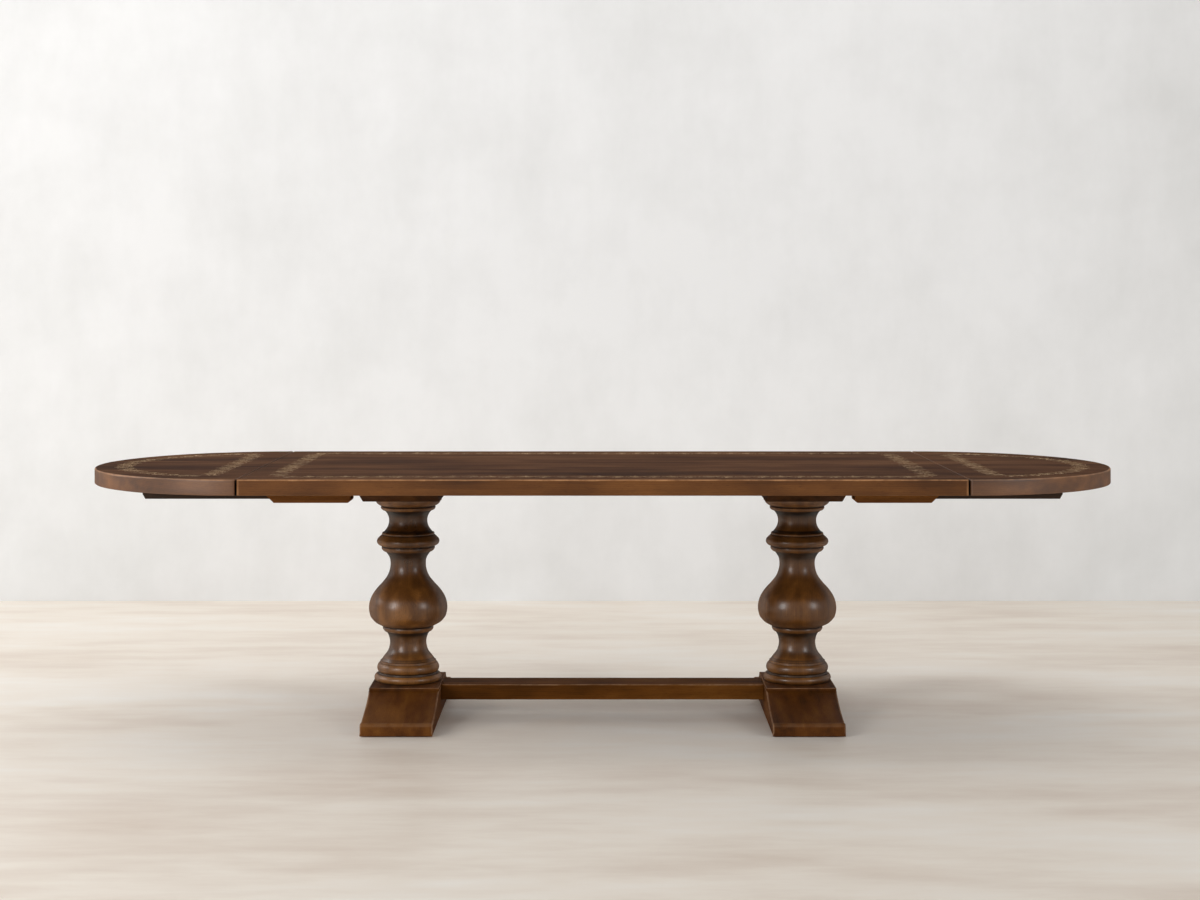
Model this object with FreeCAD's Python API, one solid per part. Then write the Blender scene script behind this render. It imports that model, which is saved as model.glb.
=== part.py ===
import FreeCAD, Part
import math
import os

# Extending dining table: a rectangular main top on two turned trestles, and
# a half-elliptical leaf at each end that slides out on two rails.
# Millimetres. X runs along the table, the front faces -Y, Z is up and the
# origin is on the floor under the centre.

# Top and leaves
TABLE_HEIGHT = 762.0
TOP_LENGTH = 2062.0
TOP_WIDTH = 1120.0
TOP_THICKNESS = 46.0
LEAF_LENGTH = 512.0
LEAF_JOINT = 5.0
TOP_UPPER_ROUND = 3.0
TOP_LOWER_ROUND = 2.0

# Trestles: the inset is from the end of the main top to the column's axis
TRESTLE_INSET = 432.0
FOOT_WIDTH = 212.0
FOOT_LENGTH = 770.0
FOOT_TOP = 97.5
FOOT_FLAT_LENGTH = 279.0
FOOT_CAP_THICKNESS = 8.0
FOOT_CAP_ROUND = 1.5
FOOT_LEDGE = 3.0
SCOOP_SAG = 7.0
LIP_TOP = 39.5
LIP_ROUND = 11.0
LIP_CREASE_REACH = 8.0
LEDGE_ROUND = 1.5
FOOT_EDGE_ROUND = 4.0
GLIDE_THICKNESS = 2.0
GLIDE_RADIUS = 15.0
GLIDE_INSET_X = 26.0
GLIDE_INSET_Y = 40.0
GLIDE_CHAMFER = 0.5
NAIL_RADIUS = 1.2
NAIL_HEAD_RADIUS = 3.0
NAIL_HEAD_HEIGHT = 1.0
NAIL_HEAD_SINK = 0.4
NAIL_LENGTH = 18.0

BEARER_WIDTH = 228.0
BEARER_THICKNESS = 48.0
BEARER_LENGTH = 760.0
BEARER_FLAT_LENGTH = 454.0
BEARER_END_THICKNESS = 4.0
BEARER_EDGE_ROUND = 2.5

VASE_RADIUS = 120.5
SPIGOT_RADIUS = 30.0
LOWER_SPIGOT_LENGTH = 30.0
UPPER_SPIGOT_LENGTH = 16.0
MORTISE_RELIEF = 1.0

# Outline of the column from its foot to its cap. Each moulding starts where the
# one below it ends, and its points are shares of the column's height and of
# the radius of its vase.
COLUMN_START_SHARE = (0.0, 0.813)
LOWER_TORUS_SHARES = ((0.02, 0.859), (0.04, 0.809))
TORUS_GROOVE_SHARES = ((0.04, 0.755), (0.048, 0.755), (0.048, 0.743))
UPPER_TORUS_SHARES = ((0.074, 0.79), (0.099, 0.734))
NECK_FILLET_SHARES = ((0.099, 0.71), (0.11, 0.71), (0.11, 0.685))
NECK_SHARES = ((0.13, 0.625), (0.151, 0.543), (0.173, 0.491), (0.203, 0.463),
               (0.226, 0.473), (0.249, 0.506), (0.267, 0.568))
LOWER_BEAD_SEAT_SHARES = ((0.267, 0.593),)
LOWER_BEAD_SHARES = ((0.282, 0.644), (0.294, 0.627))
VASE_SEAT_SHARES = ((0.294, 0.647),)
VASE_SHARES = ((0.302, 0.715), (0.314, 0.82), (0.33, 0.9), (0.352, 0.967),
               (0.39, 1.0), (0.425, 0.98), (0.46, 0.916), (0.496, 0.797),
               (0.528, 0.659), (0.561, 0.539), (0.594, 0.474), (0.628, 0.45),
               (0.66, 0.468), (0.685, 0.536), (0.697, 0.593))
UPPER_BEAD_SEAT_SHARES = ((0.697, 0.614),)
UPPER_BEAD_SHARES = ((0.711, 0.676), (0.724, 0.664))
RING_SHARES = ((0.733, 0.751), (0.743, 0.788), (0.753, 0.797), (0.764, 0.78),
               (0.774, 0.737), (0.785, 0.68))
RING_FILLET_SEAT_SHARES = ((0.785, 0.652),)
RING_FILLET_SHARES = ((0.792, 0.67), (0.799, 0.652))
COVE_SEAT_SHARES = ((0.799, 0.627),)
COVE_SHARES = ((0.821, 0.546), (0.838, 0.507), (0.86, 0.487), (0.881, 0.498),
               (0.9, 0.536), (0.911, 0.576), (0.919, 0.622))
ASTRAGAL_SEAT_SHARES = ((0.919, 0.647),)
ASTRAGAL_SHARES = ((0.931, 0.697), (0.941, 0.676))
OVOLO_SHARES = ((0.948, 0.747), (0.958, 0.802), (0.972, 0.83))
CAP_FILLET_SHARES = ((0.972, 0.855), (1.0, 0.855))

# Tie rods
ROD_RADIUS = 6.0
ROD_CLEARANCE = 1.0
ROD_END_SINK = 3.0
NUT_ACROSS_FLATS = 19.0
NUT_HEIGHT = 10.0
WASHER_RADIUS = 18.0
WASHER_THICKNESS = 3.0
WASHER_CLEARANCE = 2.0
FOOT_RECESS_DEPTH = 27.0
BEARER_RECESS_DEPTH = 20.0

# Stretcher and its bolts
STRETCHER_WIDTH = 115.0
STRETCHER_THICKNESS = 47.0
STRETCHER_DROP = 3.5
STRETCHER_EDGE_ROUND = 2.5
TENON_SIDE_SHOULDER = 10.0
TENON_CHEEK = 11.5
TENON_LENGTH = 20.0
BOLT_RADIUS = 4.0
BOLT_CLEARANCE = 0.5
BOLT_TENON_INSET = 9.5
BOLT_HEAD_RADIUS = 6.5
BOLT_HEAD_HEIGHT = 8.0
BOLT_SOCKET_FLATS = 6.0
BOLT_SOCKET_DEPTH = 4.0
BOLT_END_MARGIN = 5.0
BOLT_WASHER_RADIUS = 9.0
BOLT_WASHER_THICKNESS = 2.0
BOLT_WASHER_CLEARANCE = 1.0
PLUG_THICKNESS = 7.0
PLUG_GAP = 3.0
BARREL_NUT_RADIUS = 7.0
BARREL_NUT_LENGTH = 28.0
BARREL_NUT_SETBACK = 46.0
BARREL_NUT_SLOT_WIDTH = 1.6
BARREL_NUT_SLOT_DEPTH = 2.0

# Rails and their housings
RAIL_WIDTH = 50.0
RAIL_THICKNESS = 25.0
RAIL_EDGE_INSET = 200.0
RAIL_START_SETBACK = 5.0
RAIL_REACH = 297.0
RAIL_END_BEVEL_LENGTH = 8.0
RAIL_END_BEVEL_HEIGHT = 14.0
RAIL_EDGE_ROUND = 1.5
RAIL_TOP_CLEARANCE = 0.3
RAIL_SIDE_CLEARANCE = 0.5
HOUSING_BEARER_GAP = 17.0
HOUSING_END_SETBACK = 46.0
HOUSING_WALL = 24.5
HOUSING_FLOOR = 9.0
HOUSING_END_BEVEL = 36.0
HOUSING_START_ROUND = 8.0
HOUSING_EDGE_ROUND = 2.0

# Screws: head radius, head height, shank radius and length over all
BEARER_SCREW = (6.0, 3.5, 2.5, 44.0)
HOUSING_SCREW = (5.0, 3.0, 2.2, 50.0)
RAIL_SCREW = (5.0, 3.0, 2.2, 46.0)
PLATE_SCREW = (3.6, 1.9, 1.7, 18.0)
SCREW_TIP_SHARE = 0.12
SCREW_SLOT_WIDTH_SHARE = 0.22
SCREW_SLOT_LENGTH_SHARE = 1.1
SCREW_SLOT_DEPTH_SHARE = 0.5
SCREW_HOLE_CLEARANCE = 1.0
BEARER_SCREW_SEAT = 13.0
BEARER_SCREW_SIDE_INSET = 30.0
BEARER_SCREW_INNER_INSET = 52.0
BEARER_SCREW_END_INSET = 62.0
HOUSING_SCREW_SINK = 13.0
HOUSING_SCREW_START_INSET = 38.0
HOUSING_SCREW_END_INSET = 20.0
RAIL_SCREW_SINK = 6.0
RAIL_SCREW_FIRST = 42.0
RAIL_SCREW_PITCH = 105.0
RAIL_SCREW_COUNT = 3

# Dowels between main top and leaf
DOWEL_RADIUS = 6.0
DOWEL_LENGTH = 56.0
DOWEL_SHARE_IN_LEAF = 0.5
DOWEL_TIP_CHAMFER = 1.5
DOWEL_EDGE_INSET = 160.0
BUSH_CLEARANCE = 0.08
BUSH_WALL = 1.5
BUSH_LENGTH = 28.0
BUSH_BORE_RELIEF = 3.0

# Leaf latches
LATCH_RAIL_SPACING = 160.0
LATCH_SETBACK = 36.0
KEEPER_SETBACK = 26.0
LATCH_PLATE_LENGTH = 44.0
LATCH_PLATE_WIDTH = 52.0
KEEPER_PLATE_LENGTH = 40.0
PLATE_THICKNESS = 2.0
PLATE_CORNER_ROUND = 4.0
PLATE_SCREW_INSET = 7.0
LEVER_THICKNESS = 3.0
LEVER_HALF_WIDTH = 10.0
LEVER_END_RADIUS = 11.0
LEVER_CLEARANCE = 0.3
LEVER_BORE_CLEARANCE = 0.05
STUD_RADIUS = 3.0
STUD_HEAD_RADIUS = 5.5
STUD_HEAD_HEIGHT = 1.6
TAIL_LENGTH = 24.0
TAIL_HALF_WIDTH = 8.0
TAB_DROP = 14.0

# How near two heights or sides must be to count as the same
MATCH_SHARE = 0.01

V = FreeCAD.Vector
ORIGIN = V(0, 0, 0)
ALONG = V(1, 0, 0)
ACROSS = V(0, 1, 0)
UP = V(0, 0, 1)

MATCH = TOP_UPPER_ROUND * MATCH_SHARE
TOP_UNDERSIDE = TABLE_HEIGHT - TOP_THICKNESS
TOP_MID = TABLE_HEIGHT - TOP_THICKNESS / 2
TOP_END = TOP_LENGTH / 2
LEAF_START = TOP_END + LEAF_JOINT
TRESTLE_X = TOP_END - TRESTLE_INSET
FOOT_INNER = TRESTLE_X - FOOT_WIDTH / 2
FOOT_OUTER = TRESTLE_X + FOOT_WIDTH / 2
FOOT_LEDGE_TOP = FOOT_TOP - FOOT_CAP_THICKNESS
BEARER_BOTTOM = TOP_UNDERSIDE - BEARER_THICKNESS
BEARER_OUTER = TRESTLE_X + BEARER_WIDTH / 2
COLUMN_HEIGHT = BEARER_BOTTOM - FOOT_TOP
NUT_RECESS_RADIUS = WASHER_RADIUS + WASHER_CLEARANCE
STRETCHER_TOP = FOOT_TOP - STRETCHER_DROP
STRETCHER_BOTTOM = STRETCHER_TOP - STRETCHER_THICKNESS
STRETCHER_MID = (STRETCHER_TOP + STRETCHER_BOTTOM) / 2
TENON_WIDTH = STRETCHER_WIDTH - 2 * TENON_SIDE_SHOULDER
TENON_THICKNESS = STRETCHER_THICKNESS - 2 * TENON_CHEEK
BOLT_Y = TENON_WIDTH / 2 - BOLT_TENON_INSET
BOLT_RECESS_RADIUS = BOLT_WASHER_RADIUS + BOLT_WASHER_CLEARANCE
BOLT_RECESS_DEPTH = BOLT_WASHER_THICKNESS + BOLT_HEAD_HEIGHT + PLUG_GAP + PLUG_THICKNESS
BARREL_NUT_X = FOOT_INNER - BARREL_NUT_SETBACK
BOLT_END_X = BARREL_NUT_X - BARREL_NUT_RADIUS - BOLT_END_MARGIN
BOLT_SEAT_X = FOOT_OUTER - BOLT_RECESS_DEPTH
RAIL_Y = TOP_WIDTH / 2 - RAIL_EDGE_INSET
RAIL_BOTTOM = TOP_UNDERSIDE - RAIL_THICKNESS
RAIL_BEARING = TOP_UNDERSIDE - RAIL_TOP_CLEARANCE
RAIL_END = LEAF_START + RAIL_REACH
SLOT_HALF_WIDTH = RAIL_WIDTH / 2 + RAIL_SIDE_CLEARANCE
SLOT_BOTTOM = RAIL_BOTTOM - RAIL_SIDE_CLEARANCE
HOUSING_START = BEARER_OUTER + HOUSING_BEARER_GAP
HOUSING_END = TOP_END - HOUSING_END_SETBACK
HOUSING_WIDTH = 2 * (SLOT_HALF_WIDTH + HOUSING_WALL)
HOUSING_BOTTOM = SLOT_BOTTOM - HOUSING_FLOOR
RAIL_START = HOUSING_START + RAIL_START_SETBACK
BEARER_SCREW_SEAT_Z = TOP_UNDERSIDE - BEARER_SCREW_SEAT
HOUSING_SCREW_SEAT_Z = HOUSING_BOTTOM + HOUSING_SCREW_SINK
RAIL_SCREW_SEAT_Z = RAIL_BOTTOM + RAIL_SCREW_SINK
DOWEL_Y = TOP_WIDTH / 2 - DOWEL_EDGE_INSET
BUSH_RADIUS = DOWEL_RADIUS + BUSH_CLEARANCE + BUSH_WALL
LATCH_Y = RAIL_Y - LATCH_RAIL_SPACING
LATCH_X = TOP_END - LATCH_SETBACK
KEEPER_X = LEAF_START + KEEPER_SETBACK
LATCH_REACH = KEEPER_X - LATCH_X
PLATE_BOTTOM = TOP_UNDERSIDE - PLATE_THICKNESS
LEVER_TOP = PLATE_BOTTOM - LEVER_CLEARANCE
LEVER_BOTTOM = LEVER_TOP - LEVER_THICKNESS


# Basic shapes

def block(x0, x1, y0, y1, z0, z1):
    return Part.makeBox(x1 - x0, y1 - y0, z1 - z0, V(x0, y0, z0))


def upright(x, y, z0, z1, radius):
    return Part.makeCylinder(radius, z1 - z0, V(x, y, z0), UP)


def lengthwise(x0, x1, y, z, radius):
    return Part.makeCylinder(radius, x1 - x0, V(x0, y, z), ALONG)


def hexagon(x, y, z0, z1, across_flats):
    corner = across_flats / math.sqrt(3)
    points = []
    for index in range(6):
        angle = math.radians(60 * index)
        points.append(V(x + corner * math.cos(angle), y + corner * math.sin(angle), z0))
    return Part.Face(Part.makePolygon(points + points[:1])).extrude(UP * (z1 - z0))


def curve_edges(points):
    curve = Part.BSplineCurve()
    curve.interpolate(points)
    return [curve.toShape()]


def polygon_edges(points):
    return [Part.makeLine(a, b) for a, b in zip(points, points[1:])]


def rounded(shape, radius, chosen):
    edges = [edge for edge in shape.Edges if chosen(edge.BoundBox)]
    return shape.makeFillet(radius, edges)


def level_at(box, z):
    return abs(box.ZMin - z) < MATCH and abs(box.ZMax - z) < MATCH


def stands_upright(box):
    return box.ZLength > MATCH and box.XLength < MATCH and box.YLength < MATCH


def runs_along(box):
    return box.XLength > MATCH and box.YLength < MATCH and box.ZLength < MATCH


def mirrored(shape, axis):
    return shape.mirror(ORIGIN, axis)


def four_corners(shape):
    front_and_rear = [shape, mirrored(shape, ACROSS)]
    return front_and_rear + [mirrored(one, ALONG) for one in front_and_rear]


def save(name, solids):
    shape = solids[0] if len(solids) == 1 else Part.makeCompound(solids)
    shape.exportStep(os.path.join("parts", name + ".step"))


def save_pair(name, solids):
    save("right_" + name, solids)
    save("left_" + name, [mirrored(solid, ALONG) for solid in solids])


# Fasteners

def screw_body(x, y, seat, screw):
    # pan head below the seat, shank and point above it
    head_radius, head_height, shank_radius, length = screw
    tip = length * SCREW_TIP_SHARE
    top = seat - head_height + length
    head = upright(x, y, seat - head_height, seat, head_radius)
    shank = upright(x, y, seat, top - tip, shank_radius)
    point = Part.makeCone(shank_radius, 0, tip, V(x, y, top - tip), UP)
    return head.fuse(shank).fuse(point).removeSplitter()


def cross_recess(x, y, low, screw):
    head_radius, head_height = screw[0], screw[1]
    half_length = head_radius * SCREW_SLOT_LENGTH_SHARE / 2
    half_width = head_radius * SCREW_SLOT_WIDTH_SHARE / 2
    high = low + head_height * SCREW_SLOT_DEPTH_SHARE
    one = block(x - half_length, x + half_length, y - half_width, y + half_width, low, high)
    two = block(x - half_width, x + half_width, y - half_length, y + half_length, low, high)
    return one.fuse(two)


def pan_screw(x, y, seat, screw):
    return screw_body(x, y, seat, screw).cut(cross_recess(x, y, seat - screw[1], screw))


def flat_screw_body(x, y, face, screw):
    # countersunk head whose flat is level with the face it is driven into
    head_radius, head_height, shank_radius, length = screw
    tip = length * SCREW_TIP_SHARE
    top = face + length
    head = Part.makeCone(head_radius, shank_radius, head_height, V(x, y, face), UP)
    shank = upright(x, y, face + head_height, top - tip, shank_radius)
    point = Part.makeCone(shank_radius, 0, tip, V(x, y, top - tip), UP)
    return head.fuse(shank).fuse(point).removeSplitter()


def flat_screw(x, y, face, screw):
    return flat_screw_body(x, y, face, screw).cut(cross_recess(x, y, face, screw))


def screw_way(x, y, low, seat, high, screw):
    # wide hole for the head up to the seat and a clear hole above it
    wide = upright(x, y, low, seat, screw[0] + SCREW_HOLE_CLEARANCE)
    return wide.fuse(upright(x, y, seat, high, screw[2]))


# Screw places for the right half of the table

def bearer_screw_places():
    side = BEARER_WIDTH / 2 - BEARER_SCREW_SIDE_INSET
    inner = BEARER_FLAT_LENGTH / 2 - BEARER_SCREW_INNER_INSET
    outer = BEARER_LENGTH / 2 - BEARER_SCREW_END_INSET
    return [(TRESTLE_X + dx, y) for dx in (-side, side) for y in (-outer, -inner, inner, outer)]


def housing_screw_places():
    # front housing only, in the middle of its walls
    wall = SLOT_HALF_WIDTH + HOUSING_WALL / 2
    ends = (HOUSING_START + HOUSING_SCREW_START_INSET,
            HOUSING_END - HOUSING_END_BEVEL - HOUSING_SCREW_END_INSET)
    return [(x, dy - RAIL_Y) for x in ends for dy in (-wall, wall)]


def rail_screw_places():
    # front rail only
    first = LEAF_START + RAIL_SCREW_FIRST
    return [(first + RAIL_SCREW_PITCH * index, -RAIL_Y) for index in range(RAIL_SCREW_COUNT)]


def plate_screw_places(x, length):
    # front plate only
    half_length = length / 2 - PLATE_SCREW_INSET
    half_width = LATCH_PLATE_WIDTH / 2 - PLATE_SCREW_INSET
    return [(x + dx, dy - LATCH_Y)
            for dx in (-half_length, half_length) for dy in (-half_width, half_width)]


def front_and_rear_places(places):
    return places + [(x, -y) for x, y in places]


# Trestles

def scoop_arc(ledge, crease):
    # shallow hollow between the ledge and the crease behind the lip
    chord = ledge - crease
    inwards = V(0, chord.z, -chord.y).normalize()
    return Part.Arc(ledge, (ledge + crease) * 0.5 + inwards * SCOOP_SAG, crease).toShape()


def foot_outline():
    # half outline of the foot under its cap: floor side, rounded lip and scoop
    low = GLIDE_THICKNESS
    lip_y = -FOOT_LENGTH / 2
    centre = V(0, lip_y + LIP_ROUND, LIP_TOP - LIP_ROUND)
    front = V(0, lip_y, centre.z)
    crease = centre + V(0, LIP_CREASE_REACH, math.sqrt(LIP_ROUND ** 2 - LIP_CREASE_REACH ** 2))
    ledge = V(0, -FOOT_FLAT_LENGTH / 2 - FOOT_LEDGE, FOOT_LEDGE_TOP)
    middle = V(0, 0, FOOT_LEDGE_TOP)
    edges = polygon_edges([middle, V(0, 0, low), V(0, lip_y, low), front])
    edges.append(Part.Arc(front, centre + UP * LIP_ROUND, crease).toShape())
    edges.append(scoop_arc(ledge, crease))
    return edges + polygon_edges([ledge, middle])


def half_foot():
    face = Part.Face(Part.Wire(Part.__sortEdges__(foot_outline())))
    return face.extrude(ALONG * FOOT_WIDTH)


def is_side_edge(box):
    return box.XLength < MATCH and box.ZMax > GLIDE_THICKNESS + MATCH


def make_foot_cap():
    half = FOOT_FLAT_LENGTH / 2
    cap = block(FOOT_INNER, FOOT_OUTER, -half, half, FOOT_LEDGE_TOP, FOOT_TOP)
    cap = rounded(cap, FOOT_CAP_ROUND, stands_upright)
    return rounded(cap, FOOT_CAP_ROUND, lambda box: level_at(box, FOOT_TOP))


def make_foot():
    half = half_foot()
    shape = half.fuse(mirrored(half, ACROSS)).removeSplitter()
    shape.translate(ALONG * FOOT_INNER)
    shape = rounded(shape, LEDGE_ROUND, lambda box: runs_along(box) and level_at(box, FOOT_LEDGE_TOP))
    shape = rounded(shape, FOOT_EDGE_ROUND, is_side_edge)
    shape = shape.fuse(make_foot_cap()).removeSplitter()
    shape = shape.cut(upright(TRESTLE_X, 0, FOOT_TOP - LOWER_SPIGOT_LENGTH - MORTISE_RELIEF,
                              FOOT_TOP, SPIGOT_RADIUS))
    shape = shape.cut(upright(TRESTLE_X, 0, GLIDE_THICKNESS, FOOT_TOP, ROD_RADIUS + ROD_CLEARANCE))
    shape = shape.cut(upright(TRESTLE_X, 0, GLIDE_THICKNESS,
                              GLIDE_THICKNESS + FOOT_RECESS_DEPTH, NUT_RECESS_RADIUS))
    shape = shape.cut(block(FOOT_INNER, FOOT_INNER + TENON_LENGTH + MORTISE_RELIEF,
                            -TENON_WIDTH / 2, TENON_WIDTH / 2,
                            STRETCHER_MID - TENON_THICKNESS / 2, STRETCHER_MID + TENON_THICKNESS / 2))
    for y in (-BOLT_Y, BOLT_Y):
        shape = shape.cut(lengthwise(FOOT_INNER, FOOT_OUTER, y, STRETCHER_MID,
                                     BOLT_RADIUS + BOLT_CLEARANCE))
        shape = shape.cut(lengthwise(BOLT_SEAT_X, FOOT_OUTER, y, STRETCHER_MID, BOLT_RECESS_RADIUS))
    for x, y in glide_places():
        shape = shape.cut(upright(x, y, GLIDE_THICKNESS, nail_top(), NAIL_RADIUS))
    return shape


def glide_places():
    places = []
    for x in (FOOT_INNER + GLIDE_INSET_X, FOOT_OUTER - GLIDE_INSET_X):
        for y_side in (-1, 1):
            places.append((x, y_side * (FOOT_LENGTH / 2 - GLIDE_INSET_Y)))
    return places


def nail_top():
    return NAIL_HEAD_SINK + NAIL_LENGTH


def make_nail(x, y):
    head = upright(x, y, NAIL_HEAD_SINK, NAIL_HEAD_SINK + NAIL_HEAD_HEIGHT, NAIL_HEAD_RADIUS)
    return head.fuse(upright(x, y, NAIL_HEAD_SINK, nail_top(), NAIL_RADIUS)).removeSplitter()


def make_glide(x, y):
    disc = upright(x, y, 0, GLIDE_THICKNESS, GLIDE_RADIUS)
    disc = disc.makeChamfer(GLIDE_CHAMFER, [edge for edge in disc.Edges if level_at(edge.BoundBox, 0)])
    disc = disc.cut(upright(x, y, 0, NAIL_HEAD_SINK + NAIL_HEAD_HEIGHT, NAIL_HEAD_RADIUS))
    return disc.cut(upright(x, y, 0, GLIDE_THICKNESS, NAIL_RADIUS))


def column_point(share):
    return V(VASE_RADIUS * share[1], 0, FOOT_TOP + COLUMN_HEIGHT * share[0])


def column_outline():
    mouldings = (
        (curve_edges, LOWER_TORUS_SHARES), (polygon_edges, TORUS_GROOVE_SHARES),
        (curve_edges, UPPER_TORUS_SHARES), (polygon_edges, NECK_FILLET_SHARES),
        (curve_edges, NECK_SHARES), (polygon_edges, LOWER_BEAD_SEAT_SHARES),
        (curve_edges, LOWER_BEAD_SHARES), (polygon_edges, VASE_SEAT_SHARES),
        (curve_edges, VASE_SHARES), (polygon_edges, UPPER_BEAD_SEAT_SHARES),
        (curve_edges, UPPER_BEAD_SHARES), (curve_edges, RING_SHARES),
        (polygon_edges, RING_FILLET_SEAT_SHARES), (curve_edges, RING_FILLET_SHARES),
        (polygon_edges, COVE_SEAT_SHARES), (curve_edges, COVE_SHARES),
        (polygon_edges, ASTRAGAL_SEAT_SHARES), (curve_edges, ASTRAGAL_SHARES),
        (curve_edges, OVOLO_SHARES), (polygon_edges, CAP_FILLET_SHARES),
    )
    edges = []
    last = column_point(COLUMN_START_SHARE)
    for make_edges, shares in mouldings:
        points = [last] + [column_point(share) for share in shares]
        edges += make_edges(points)
        last = points[-1]
    return edges


def make_column():
    low = FOOT_TOP - LOWER_SPIGOT_LENGTH
    high = BEARER_BOTTOM + UPPER_SPIGOT_LENGTH
    start = column_point(COLUMN_START_SHARE)
    end = column_point(CAP_FILLET_SHARES[-1])
    edges = polygon_edges([V(0, 0, low), V(SPIGOT_RADIUS, 0, low), V(SPIGOT_RADIUS, 0, FOOT_TOP), start])
    edges += column_outline()
    edges += polygon_edges([end, V(SPIGOT_RADIUS, 0, BEARER_BOTTOM), V(SPIGOT_RADIUS, 0, high),
                            V(0, 0, high), V(0, 0, low)])
    solid = Part.Face(Part.Wire(edges)).revolve(ORIGIN, UP, 360)
    solid.translate(ALONG * TRESTLE_X)
    return solid.cut(upright(TRESTLE_X, 0, low, high, ROD_RADIUS + ROD_CLEARANCE))


def make_bearer():
    half = BEARER_LENGTH / 2
    flat = BEARER_FLAT_LENGTH / 2
    end_z = TOP_UNDERSIDE - BEARER_END_THICKNESS
    x0 = TRESTLE_X - BEARER_WIDTH / 2
    points = [
        V(x0, -half, TOP_UNDERSIDE), V(x0, -half, end_z), V(x0, -flat, BEARER_BOTTOM),
        V(x0, flat, BEARER_BOTTOM), V(x0, half, end_z), V(x0, half, TOP_UNDERSIDE),
        V(x0, -half, TOP_UNDERSIDE),
    ]
    shape = Part.Face(Part.makePolygon(points)).extrude(ALONG * BEARER_WIDTH)
    shape = rounded(shape, BEARER_EDGE_ROUND,
                    lambda box: box.XLength < MATCH and level_at(box, BEARER_BOTTOM))
    mortise_top = BEARER_BOTTOM + UPPER_SPIGOT_LENGTH + MORTISE_RELIEF
    shape = shape.cut(upright(TRESTLE_X, 0, BEARER_BOTTOM, mortise_top, SPIGOT_RADIUS))
    shape = shape.cut(upright(TRESTLE_X, 0, BEARER_BOTTOM, TOP_UNDERSIDE, ROD_RADIUS + ROD_CLEARANCE))
    shape = shape.cut(upright(TRESTLE_X, 0, TOP_UNDERSIDE - BEARER_RECESS_DEPTH, TOP_UNDERSIDE,
                              NUT_RECESS_RADIUS))
    for x, y in bearer_screw_places():
        shape = shape.cut(screw_way(x, y, BEARER_BOTTOM, BEARER_SCREW_SEAT_Z, TOP_UNDERSIDE,
                                    BEARER_SCREW))
    return shape


def make_bearer_screws():
    return [pan_screw(x, y, BEARER_SCREW_SEAT_Z, BEARER_SCREW) for x, y in bearer_screw_places()]


# Tie rod, its nuts and washers

def make_tie_rod():
    low = GLIDE_THICKNESS + ROD_END_SINK
    high = TOP_UNDERSIDE - ROD_END_SINK
    return upright(TRESTLE_X, 0, low, high, ROD_RADIUS)


def ring(z0, z1, outer, inner):
    return upright(TRESTLE_X, 0, z0, z1, outer).cut(upright(TRESTLE_X, 0, z0, z1, inner))


def make_washers():
    foot_seat = GLIDE_THICKNESS + FOOT_RECESS_DEPTH
    bearer_seat = TOP_UNDERSIDE - BEARER_RECESS_DEPTH
    return [
        ring(foot_seat - WASHER_THICKNESS, foot_seat, WASHER_RADIUS, ROD_RADIUS),
        ring(bearer_seat, bearer_seat + WASHER_THICKNESS, WASHER_RADIUS, ROD_RADIUS),
    ]


def make_nut(z0):
    nut = hexagon(TRESTLE_X, 0, z0, z0 + NUT_HEIGHT, NUT_ACROSS_FLATS)
    return nut.cut(upright(TRESTLE_X, 0, z0, z0 + NUT_HEIGHT, ROD_RADIUS))


def make_nuts():
    foot_seat = GLIDE_THICKNESS + FOOT_RECESS_DEPTH - WASHER_THICKNESS
    bearer_seat = TOP_UNDERSIDE - BEARER_RECESS_DEPTH + WASHER_THICKNESS
    return [make_nut(foot_seat - NUT_HEIGHT), make_nut(bearer_seat)]


# Stretcher

def make_stretcher():
    half_width = STRETCHER_WIDTH / 2
    shape = block(-FOOT_INNER, FOOT_INNER, -half_width, half_width, STRETCHER_BOTTOM, STRETCHER_TOP)
    shape = rounded(shape, STRETCHER_EDGE_ROUND, lambda box: True)
    reach = FOOT_INNER + TENON_LENGTH
    shape = shape.fuse(block(-reach, reach, -TENON_WIDTH / 2, TENON_WIDTH / 2,
                             STRETCHER_MID - TENON_THICKNESS / 2, STRETCHER_MID + TENON_THICKNESS / 2))
    for y in (-BOLT_Y, BOLT_Y):
        way = lengthwise(BOLT_END_X, reach, y, STRETCHER_MID, BOLT_RADIUS + BOLT_CLEARANCE)
        well = upright(BARREL_NUT_X, y, STRETCHER_BOTTOM, STRETCHER_MID + BARREL_NUT_LENGTH / 2,
                       BARREL_NUT_RADIUS)
        for cutter in (way, well):
            shape = shape.cut(cutter)
            shape = shape.cut(mirrored(cutter, ALONG))
    return shape


def make_bolt(y):
    head_start = BOLT_SEAT_X + BOLT_WASHER_THICKNESS
    head_end = head_start + BOLT_HEAD_HEIGHT
    shank = lengthwise(BOLT_END_X, head_start, y, STRETCHER_MID, BOLT_RADIUS)
    head = lengthwise(head_start, head_end, y, STRETCHER_MID, BOLT_HEAD_RADIUS)
    socket = hexagon(0, 0, 0, BOLT_SOCKET_DEPTH, BOLT_SOCKET_FLATS)
    socket.rotate(ORIGIN, ACROSS, 90)
    socket.translate(V(head_end - BOLT_SOCKET_DEPTH, y, STRETCHER_MID))
    return shank.fuse(head).removeSplitter().cut(socket)


def make_bolt_washer(y):
    end = BOLT_SEAT_X + BOLT_WASHER_THICKNESS
    disc = lengthwise(BOLT_SEAT_X, end, y, STRETCHER_MID, BOLT_WASHER_RADIUS)
    return disc.cut(lengthwise(BOLT_SEAT_X, end, y, STRETCHER_MID, BOLT_RADIUS))


def make_plug(y):
    return lengthwise(FOOT_OUTER - PLUG_THICKNESS, FOOT_OUTER, y, STRETCHER_MID, BOLT_RECESS_RADIUS)


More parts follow.
